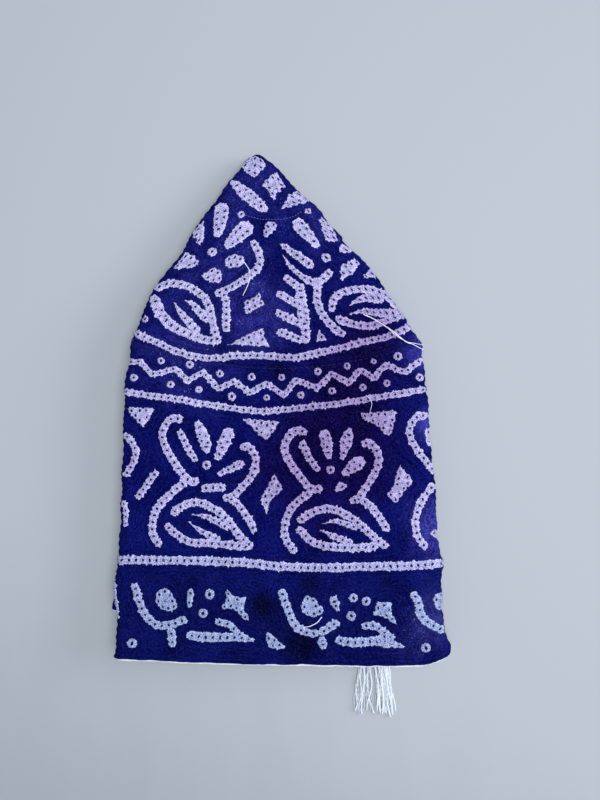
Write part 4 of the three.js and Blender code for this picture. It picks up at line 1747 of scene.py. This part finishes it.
@dataclass
class ContourStitches:
    """Blue stitching of the ground: raised lines that follow the edges of the motifs."""

    shape: FoldedShape
    echo: EchoField
    half: float = 0.74
    height: float = 0.14
    offsets: tuple[float, ...] = (-1.0, -0.55, 0.0, 0.55, 1.0)
    rounds: tuple[float, ...] = (-0.3, 0.72, 1.0, 0.72, -0.3)
    seed: int = 3

    def build(self, name: str, face: Face, material: Material) -> Piece:
        """Sweeps a low round across every contour line of the distance to the motifs.

        Args:
            name: Name of the piece.
            face: Front or back.
            material: Finish of the ground.

        Returns:
            The piece.
        """
        rng = np.random.default_rng(self.seed)
        spots, pair, numbers = self.echo.contours()
        grids = (self.echo.slope_x, self.echo.slope_up)
        slope = np.stack([self.echo.read(grid, *spots.T) for grid in grids], -1)
        slope /= np.maximum(np.linalg.norm(slope, axis=-1, keepdims=True), 0.2)
        ahead = spots[pair[:, 1]] - spots[pair[:, 0]]
        grade = slope[pair[:, 0]]
        turned = ahead[:, 0] * grade[:, 1] - ahead[:, 1] * grade[:, 0] < 0
        pair[turned] = pair[turned, ::-1]
        count, columns = len(spots), len(self.offsets)
        reach = self.half * np.array(self.offsets)
        places = spots[:, None] + reach[None, :, None] * slope[:, None]
        x, up = places[..., 0], places[..., 1]
        if face is Face.BACK:
            turn, up = self.shape.behind(x, up)
        else:
            turn = self.shape.turn_at(x, up)
        uneven = np.clip(1 + rng.normal(0, 0.25, (count, 1)), 0.3, 1.7)
        lifts = self.height * np.array(self.rounds) * uneven
        points = self.shape.points(turn, up, 0.0, lifts)
        column = np.arange(columns - 1)
        first, last = pair[:, :1] * columns + column, pair[:, 1:] * columns + column
        quads = np.stack((first, last, last + 1, first + 1), -1).reshape(-1, 4)
        piece = make_mesh(name, points.reshape(-1, 3), (quads,), (material,))
        set_attribute(piece, "echo", (FIRST_LINE + LINE_GAP * numbers[:, None] + reach).ravel())
        set_attribute(piece, "hem", self.shape.level_at(turn, up).ravel())
        set_clouds(piece, *places.reshape(-1, 2).T, 1.0 if face is Face.FRONT else BACK_CLOUD)
        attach(piece, BODY)
        return piece


@dataclass
class Embroidery:
    """White eyelet embroidery: raised bands and patches with rows of rings round pierced holes."""

    shape: FoldedShape
    camera: PhotoCamera
    segments: int = 12
    reaches: tuple[float, ...] = (0.33, 0.58, 0.82, 1.0)
    lifts: tuple[float, ...] = (0.04, 0.30, 0.20, -0.12)
    unevenness: tuple[float, ...] = (0.02, 0.03, 0.05, 0.06)
    ringed: float = 0.55
    side_lines: int = 3
    front_lap: float = 0.2
    side_lap: float = 0.8
    back_flatten: float = 0.9
    seed: int = 11

    def __post_init__(self) -> None:
        """Works every motif of the chart."""
        self.rng = np.random.default_rng(self.seed)
        self.plate = Plate.join([motif.plate(self.rng) for motif in FRONT_CHART])

    def edges(self) -> tuple[Array, Array]:
        """Edges of all motifs on the front, across and up, with their outward directions."""
        x, up = self.camera.on_front(self.shape, self.plate.edge)
        return np.stack((x, up), -1), self.plate.outward

    def lay(self, spots: Array, face: Face) -> Laid:
        """Lays points of the picture on the front, or on the back with the same row and share of width."""
        x, up = self.camera.on_front(self.shape, spots)
        if face is Face.BACK:
            return Laid(*self.shape.behind(x, up), x, up)
        return Laid(self.shape.turn_at(x, up), up, x, up)

    def finish(self, piece: Piece, coords: Array, laid: Laid, copies: int = 1) -> None:
        """Stores the map and the clouds of painted light and shade of a piece, and tells what carries it.

        Args:
            piece: The piece.
            coords: Map of its face corners.
            laid: Places of its points.
            copies: Points at each place.
        """
        set_ring_map(piece, coords)
        set_clouds(piece, np.repeat(laid.front_x, copies), np.repeat(laid.front_up, copies))
        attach(piece, BODY)

    def sew(self, name: str, plate: Plate, bands: Laid, rings: Laid, material: Material,
            flatten: float = 1.0) -> list[Piece]:
        """Makes the raised bands of some motifs, and their eyelets on top.

        A ring's offsets are steps on the cloth: across, they are divided by the length of its tangent.

        Args:
            name: First word of the names of both pieces.
            plate: The motifs.
            bands: Where the points of the bands lie.
            rings: Where the middles of the eyelets lie.
            material: Finish of the thread.
            flatten: Share of the full height.

        Returns:
            The bands and the eyelets.
        """
        shape, scale = self.shape, self.camera.scale
        points = shape.points(bands.turn, bands.up, 0.0, flatten * plate.lifts)
        band_piece = make_mesh(name + "_bands", points, (plate.quads, plate.tris), (material,))
        corners = np.concatenate((plate.quads.ravel(), plate.tris.ravel()))
        self.finish(band_piece, plate.coords[corners], bands)
        offsets, lifts, faces, coords = self.rings(plate.eyelets)
        per_turn = np.linalg.norm(shape.frames(rings.turn, rings.up)[0], axis=-1)
        turn = rings.turn[:, None] + scale * offsets[..., 0] / per_turn[:, None]
        up = rings.up[:, None] + scale * offsets[..., 1]
        points = shape.points(turn, up, 0.0, flatten * lifts)
        ring_piece = make_mesh(name + "_eyelets", points.reshape(-1, 3), faces, (material,))
        self.finish(ring_piece, coords, rings, lifts.shape[1])
        set_attribute(ring_piece, "ringed", np.full(lifts.size, self.ringed))
        return [band_piece, ring_piece]

    def panel(self, name: str, face: Face, material: Material) -> list[Piece]:
        """Sews the whole chart on the front or on the back."""
        bands, rings = (self.lay(spots, face) for spots in (self.plate.spots, self.plate.eyelets.spots))
        flatten = 1.0 if face is Face.FRONT else self.back_flatten
        return self.sew(name, self.plate, bands, rings, material, flatten)

    def rings(self, eyelets: Eyelets) -> tuple[Array, Array, tuple[Array, Array], Array]:
        """Rings of many eyelets: a middle and circles at growing reach, stretched and turned.

        Args:
            eyelets: Sizes and leans.

        Returns:
            Offsets from the middles, lifts, faces, and the map of every face corner.
        """
        rng = np.random.default_rng(self.seed)
        count, segments, rings = len(eyelets.along), self.segments, len(self.reaches)
        angles = (np.arange(segments) + 0.5) / segments * 2 * math.pi
        uneven = np.array(self.unevenness)[None, :, None] * rng.normal(0, 1, (count, rings, segments))
        reach = np.array(self.reaches)[None, :, None] * (1 + uneven)
        slit = np.ones((count, rings, 1))
        slit[:, 0, 0] = rng.uniform(0.68, 0.95, count)
        lean = np.repeat(eyelets.lean[:, None, None], rings, axis=1)
        lean[:, 0, 0] += rng.uniform(-1.0, 1.5, count)
        ahead = reach * slit * np.cos(angles) * eyelets.along[:, None, None]
        aside = reach / slit * np.sin(angles) * eyelets.across[:, None, None]
        cos, sin = np.cos(lean), np.sin(lean)
        offsets = np.stack((ahead * cos - aside * sin, ahead * sin + aside * cos), -1)
        offsets = np.concatenate((np.zeros((count, 1, 2)), offsets.reshape(count, -1, 2)), axis=1)
        heights = np.array(self.lifts)[None, :, None] * (1 + rng.normal(0, 0.14, (count, rings, segments)))
        lifts = np.concatenate((np.zeros((count, 1)), heights.reshape(count, -1)), axis=1)
        ring = 1 + np.arange(segments)
        fan = np.stack((0 * ring, ring, np.roll(ring, -1)), -1)
        quads = np.roll(band_faces(rings, segments, 1, inward=True), 1, axis=1)
        starts = np.arange(count)[:, None, None] * (rings * segments + 1)
        faces = ((fan + starts).reshape(-1, 3), (quads + starts).reshape(-1, 4))
        return offsets, PLATE_LIFT + lifts, faces, self.ring_map(count)

    def ring_map(self, count: int) -> Array:
        """Way round and reach at every face corner of many eyelets.

        Args:
            count: Number of eyelets.

        Returns:
            A pair for each face corner.
        """
        start = np.arange(self.segments)[:, None] / self.segments
        around = (start + np.array(part) / self.segments for part in ((0.5, 0, 1), (0, 0, 1, 1)))
        reach = np.array(self.reaches)[:, None, None]
        reaches = (reach[0] * (0, 1, 1), reach[:-1] + np.diff(reach, axis=0) * (0, 1, 1, 0))
        turned = np.random.default_rng(self.seed).uniform(-0.12, 0.12, (count, 1, 1, 1))
        return np.concatenate([np.stack(np.broadcast_arrays(turned + way, far), -1).reshape(-1, 2)
                               for way, far in zip(around, reaches)])

    def gussets(self, name: str, material: Material) -> list[Piece]:
        """Sews the lines that run on from the front, round the tucked sides, to the back.

        A line's row goes evenly from its row at one end of the front to that at the other, and the band
        is laid along it by the length of arc.

        Args:
            name: First word of the names of both pieces.
            material: Finish of the thread.

        Returns:
            The bands and the eyelets.
        """
        shape, scale, lap, side_lap = self.shape, self.camera.scale, self.front_lap, self.side_lap
        (front_start, front_end), (back_start, back_end) = shape.front_turns, shape.back_turns
        stretches = ((front_end - lap, back_start + side_lap),
                     (back_end - side_lap, shape.spans + front_start + lap))
        plates, bands, rings = [], [], []
        for line in LINES_ROUND[:self.side_lines]:
            x, up = self.camera.on_front(shape, upright((line.spots[-1], line.spots[0])))
            rows = shape.level_at(shape.turn_at(x, up), up)
            for stretch in stretches:
                turn = np.linspace(*stretch, 400)
                up = shape.up_of(turn, np.interp(turn, stretch, rows))
                length = run_length(shape.points(turn, up)) / scale
                plate = replace(line, spots=((0.0, 0.0), (length[-1], 0.0))).plate(self.rng)
                plates.append(plate)
                for places, spots in ((bands, plate.spots), (rings, plate.eyelets.spots)):
                    row = np.interp(spots[:, 0], length, up) + scale * spots[:, 1]
                    places.append((np.interp(spots[:, 0], length, turn), row))
        laid = []
        for places in (bands, rings):
            turn, up = (np.concatenate(part) for part in zip(*places))
            laid.append(Laid(turn, up, shape.place(turn, up)[0], up))
        return self.sew(name, Plate.join(plates), *laid, material)


@dataclass(frozen=True)
class Yarn:
    """One strand of the tassel: where it leaves the rim, where it is half way, and where it ends."""

    rim: float
    half_way: float
    end: float
    reach: float
    thick: float = 0.62


YARNS = (
    Yarn(36.3, 38.1, 36.8, 29.6, 0.5), Yarn(38.1, 35.2, 34.2, 28.5, 0.42), Yarn(37.2, 36.6, 36.0, 29.0, 0.4),
    Yarn(41.8, 38.9, 42.2, 29.4, 0.5), Yarn(39.6, 41.6, 39.4, 28.0, 0.42), Yarn(42.4, 44.0, 44.4, 28.6, 0.46),
    Yarn(45.0, 45.4, 45.4, 29.2), Yarn(45.6, 46.4, 46.6, 29.6), Yarn(46.0, 47.0, 47.8, 29.0),
    Yarn(46.4, 47.6, 48.8, 29.8), Yarn(46.8, 48.2, 49.8, 31.0), Yarn(47.2, 48.9, 50.8, 30.2),
    Yarn(47.6, 49.4, 51.6, 29.2, 0.55), Yarn(48.0, 49.9, 52.4, 28.4, 0.46),
)


@dataclass(frozen=True)
class Running:
    """Running stitches: their pitch, the share of it that shows, their lift, its arch, and their radius."""

    pitch: float
    share: float
    lift: float
    arch: float
    radius: float
    steps: int = 6

    def lengths(self, total: float) -> Array:
        """Lengths along a line of the points of its stitches, which start a pitch apart."""
        start = np.arange(0, total - self.pitch, self.pitch)
        return start[:, None] + self.share * self.pitch * np.linspace(0, 1, self.steps)


@dataclass
class Threads:
    """Bare threads: the yarns of the tassel, the loose ends on the front, and the stitches of the seam."""

    shape: FoldedShape
    camera: PhotoCamera
    sides: int = 8
    head_x: float = 41.0
    head_share: float = 0.3
    head_up: float = 11.0
    head_height: float = 4.4
    fibres: int = 3
    fibre_radius: float = 0.12
    twist: float = 2.2
    yarn_steps: int = 56
    end_steps: int = 30
    seam_run: Running = Running(2.4, 0.6, 0.22, 0.1, 0.17)
    seam_drop: float = 1.2
    arc_run: Running = Running(3.0, 0.5, 0.2, 0.12, 0.16)
    seed: int = 5

    def tube(self, paths: Array, radii: Array) -> tuple[Array, Array, Array]:
        """Closed tubes along many paths at once: circles across each path's tangent, with end points.

        Args:
            paths: Points of the paths, for each thread and step.
            radii: Radius at each step of each thread.

        Returns:
            Points, quads and triangles.
        """
        count, steps, _ = paths.shape
        tangent = unit(np.gradient(paths, axis=1))
        side = unit(np.cross(tangent, np.array((0.03, 0.05, 1.0))))
        rise = np.cross(side, tangent)
        angle = np.arange(self.sides) / self.sides * 2 * math.pi
        circle = np.cos(angle)[:, None] * side[:, :, None] + np.sin(angle)[:, None] * rise[:, :, None]
        body = paths[:, :, None] + radii[:, :, None, None] * circle
        points = np.concatenate((body.reshape(count, -1, 3), paths[:, :1], paths[:, -1:]), axis=1)
        per = steps * self.sides + 2
        starts = np.arange(count)[:, None, None] * per
        quads = band_faces(steps, self.sides, inward=True) + starts
        ring = np.arange(self.sides)
        after = np.roll(ring, -1)
        last = (steps - 1) * self.sides
        low = np.stack((0 * ring + per - 2, ring, after), -1)
        high = np.stack((0 * ring + per - 1, last + after, last + ring), -1)
        caps = np.concatenate((low, high)) + starts
        return points.reshape(-1, 3), quads.reshape(-1, 4), caps.reshape(-1, 3)

    def dress(self, name: str, paths: Array, radii: Array, material: Material) -> Piece:
        """Makes one piece of many threads, mapped by the way round and the turns of twist along them.

        Args:
            name: Name of the piece.
            paths: Points of the paths, for each thread and step.
            radii: Radius at each step of each thread.
            material: Finish of the thread.

        Returns:
            The piece.
        """
        points, quads, caps = self.tube(paths, radii)
        piece = make_mesh(name, points, (quads, caps), (material,))
        turns = (np.arange(self.sides)[:, None] + (0, 1, 1, 0)) / self.sides
        rows = np.arange(paths.shape[1] - 1)[:, None, None] + (1, 1, 0, 0)
        twists = run_length(paths)[:, rows] / self.twist
        coords = np.stack(np.broadcast_arrays(turns, twists), -1).reshape(-1, 2)
        set_ring_map(piece, np.concatenate((coords, np.zeros((caps.size, 2)))))
        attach(piece, BODY)
        return piece

    def tassel(self, material: Material) -> Piece:
        """Yarns from the head out over the rim and down to the table, each with a few frayed fibres.

        Args:
            material: Finish of the thread.

        Returns:
            The piece.
        """
        rng = np.random.default_rng(self.seed)
        s = np.linspace(0, 1, self.yarn_steps)[None, :]
        copies = 1 + self.fibres
        yarns = np.repeat([astuple(yarn) for yarn in YARNS], copies, axis=0)
        rim, half_way, end, reach, thick = yarns.T[..., None]
        count = len(rim)
        fibre = (np.arange(count) % copies > 0)[:, None]
        stray = fibre * rng.normal(0, 0.8, (count, 1))
        head = self.head_x + self.head_share * (rim - self.head_x)
        knots = np.array((0.0, 0.24, 0.62, 1.0))
        values = np.concatenate((head, rim, half_way + 0.6 * stray, end + 1.3 * stray), axis=1)
        x = np.array([np.interp(s[0], knots, row) for row in values])
        window = np.array((1, 2, 3, 4, 3, 2, 1)) / 16
        x = np.array([np.convolve(np.pad(row, 3, mode="edge"), window, mode="valid") for row in x])
        phase = rng.uniform(0, 2 * math.pi, (count, 1))
        curl = np.sin(rng.uniform(9, 19, (count, 1)) * s + phase)
        x = x + (0.4 + 0.25 * fibre) * curl * smooth_step(s, 0.1, 0.4)
        up = self.head_up - (self.head_up + reach + 0.8 * stray) * s
        layer = rng.uniform(0, 1, (count, 1))
        fall = smooth_step(s, 0.20, 0.60)
        lie = 0.55 + 1.1 * layer
        z = (self.head_height - 0.8 + 1.4 * layer) * (1 - fall) + lie * fall + 0.15 * np.cos(15 * s + phase)
        thick = thick * (0.72 + 0.28 * smooth_step(s, 0, 0.3)) * (1 - 0.3 * s ** 8)
        radii = np.where(fibre, self.fibre_radius, thick)
        paths = np.stack((x, up, np.maximum(z, radii)), -1) + self.shape.origin
        piece = self.dress("thread_tassel_strands", paths, radii, material)
        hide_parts("thread_tassel")
        return piece

    def loose_ends(self, material: Material) -> Piece:
        """Thread ends that lie across the front, a little above the embroidery.

        Args:
            material: Finish of the thread.

        Returns:
            The piece.
        """
        s = np.linspace(0, 1, self.end_steps)
        lines = []
        for _, spots in LOOSE_ENDS:
            line = round_spots(upright(spots), 0.5)
            lines.append(read_line(np.linspace(0, len(line) - 1, len(s)), np.arange(len(line)), line))
        x, up = self.camera.on_front(self.shape, np.concatenate(lines))
        lift = np.tile(0.85 + 0.5 * np.sin(math.pi * s), len(lines))
        paths = self.shape.points(self.shape.turn_at(x, up), up, 0.0, lift).reshape(len(lines), -1, 3)
        radii = np.array([[radius] for radius, _ in LOOSE_ENDS]) * (1 - 0.3 * s ** 4)
        return self.dress("loose_thread_ends", paths, radii, material)

    def run(self, name: str, stitch: Running, turn: Array, up: Array, material: Material) -> Piece:
        """Makes a row of running stitches, each lifted from the cloth along a half sine.

        Args:
            name: Name of the piece.
            stitch: Sizes of the stitches.
            turn: Turns round the section, for each stitch and step.
            up: Heights above the rim.
            material: Finish of the thread.

        Returns:
            The piece.
        """
        lift = stitch.lift + stitch.arch * np.sin(math.pi * np.linspace(0, 1, stitch.steps))
        paths = self.shape.points(turn, up, 0.0, np.broadcast_to(lift, turn.shape))
        return self.dress(name, paths, np.full(turn.shape, stitch.radius), material)

    def crown_stitches(self, material: Material) -> Piece:
        """Short pale stitches along the arc that is sewn across the crown.

        Args:
            material: Finish of the thread.

        Returns:
            The piece.
        """
        line = round_spots(upright(CROWN_ARC), ARC_STEP)
        length = ARC_STEP * np.arange(len(line))
        where = self.arc_run.lengths(length[-1])
        x, up = self.camera.on_front(self.shape, read_line(where.ravel(), length, line))
        turn, up = (part.reshape(where.shape) for part in (self.shape.turn_at(x, up), up))
        return self.run("crown_stitches", self.arc_run, turn, up, material)

    def seam(self, material: Material) -> Piece:
        """Short running stitches along the seam, all the way round.

        Args:
            material: Finish of the thread.

        Returns:
            The piece.
        """
        shape = self.shape
        level = shape.seam_height - self.seam_drop
        fine = np.linspace(0, shape.spans, 3000, endpoint=False)
        length = run_length(shape.points(fine, shape.up_of(fine, np.full_like(fine, level))))
        turn = np.interp(self.seam_run.lengths(length[-1]), length, fine)
        up = shape.up_of(turn, np.full_like(turn, level))
        return self.run("seam_stitches", self.seam_run, turn, up, material)


@dataclass(frozen=True)
class Lamp:
    """A round soft light that faces the cap: its power, its size and its place in metres."""

    name: str
    power: float
    size: float
    place: tuple[float, float, float]

    def build(self) -> None:
        """Makes the light; its tilt is the angle of its place from straight above."""
        light = bpy.data.lights.new(self.name, "AREA")
        light.shape = "DISK"
        light.size = self.size
        light.energy = self.power
        lamp = bpy.data.objects.new(self.name, light)
        lamp.location = self.place
        x, y, z = self.place
        lamp.rotation_euler = (0.0, math.atan2(math.hypot(x, y), z), math.atan2(y, x))
        bpy.context.scene.collection.objects.link(lamp)


@dataclass(frozen=True)
class Studio:
    """Pale table, a soft light above, a weaker one from the right, and an even surround."""

    table_half: float = 1.6
    surround: float = 0.33
    lamps: tuple[Lamp, ...] = (Lamp("ceiling_light", 10.6, 0.6, (0.12, 0.02, 1.05)),
                               Lamp("window_light", 17.0, 1.0, (1.5, 0.3, 0.9)))

    def build(self) -> None:
        """Makes the table, the lights and the surround, and sets plain colours for the view."""
        half = self.table_half / MM
        corners = np.array(((-half, -half, 0), (half, -half, 0), (half, half, 0), (-half, half, 0)))
        table = make_mesh("table", corners, (np.array([[0, 1, 2, 3]]),), (PaleTable().material(),))
        for lamp in self.lamps:
            lamp.build()
        world = bpy.data.worlds.new("surround")
        world.use_nodes = True
        world.node_tree.nodes["Background"].inputs["Color"].default_value = (0.96, 0.98, 1.0, 1.0)
        world.node_tree.nodes["Background"].inputs["Strength"].default_value = self.surround
        bpy.context.scene.world = world
        bpy.context.scene.view_settings.view_transform = "Standard"


def main() -> None:
    """Builds the cap's pieces in order and reports each."""
    logging.basicConfig(level=logging.INFO, format="%(message)s")
    shape = FoldedShape()
    shape.settle(*(np.array(corner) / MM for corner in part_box("crown")))
    camera = PhotoCamera()
    camera.build(shape)
    embroidery = Embroidery(shape, camera)
    echo = EchoField(shape)
    echo.fill(*embroidery.edges())
    threads = Threads(shape, camera)
    cloth = Cloth(shape, echo)
    contour = ContourStitches(shape, echo)
    ground, lining = StitchedGround().material(), CottonLining().material()
    thread, cotton, blue = EyeletThread().material(), LooseCotton().material(), BlueThread().material()
    pale = BlueThread("pale_thread", (0.11, 0.13, 0.38), (0.05, 0.06, 0.22)).material()
    white = LooseCotton("white_ends", (0.80, 0.84, 0.98), (0.62, 0.66, 0.82)).material()
    pieces = [
        cloth.side_wall((ground, lining)),
        cloth.crown((ground, lining)),
        contour.build("front_stitching", Face.FRONT, ground),
        contour.build("back_stitching", Face.BACK, ground),
        *embroidery.panel("front", Face.FRONT, thread),
        *embroidery.panel("back", Face.BACK, thread),
        *embroidery.gussets("side", thread),
        threads.tassel(cotton),
        threads.loose_ends(white),
        threads.seam(blue),
        threads.crown_stitches(pale),
    ]
    for piece in pieces:
        log.info("%s: %d faces", piece.name, len(piece.data.polygons))
    Studio().build()


if __name__ == "__main__":
    main()
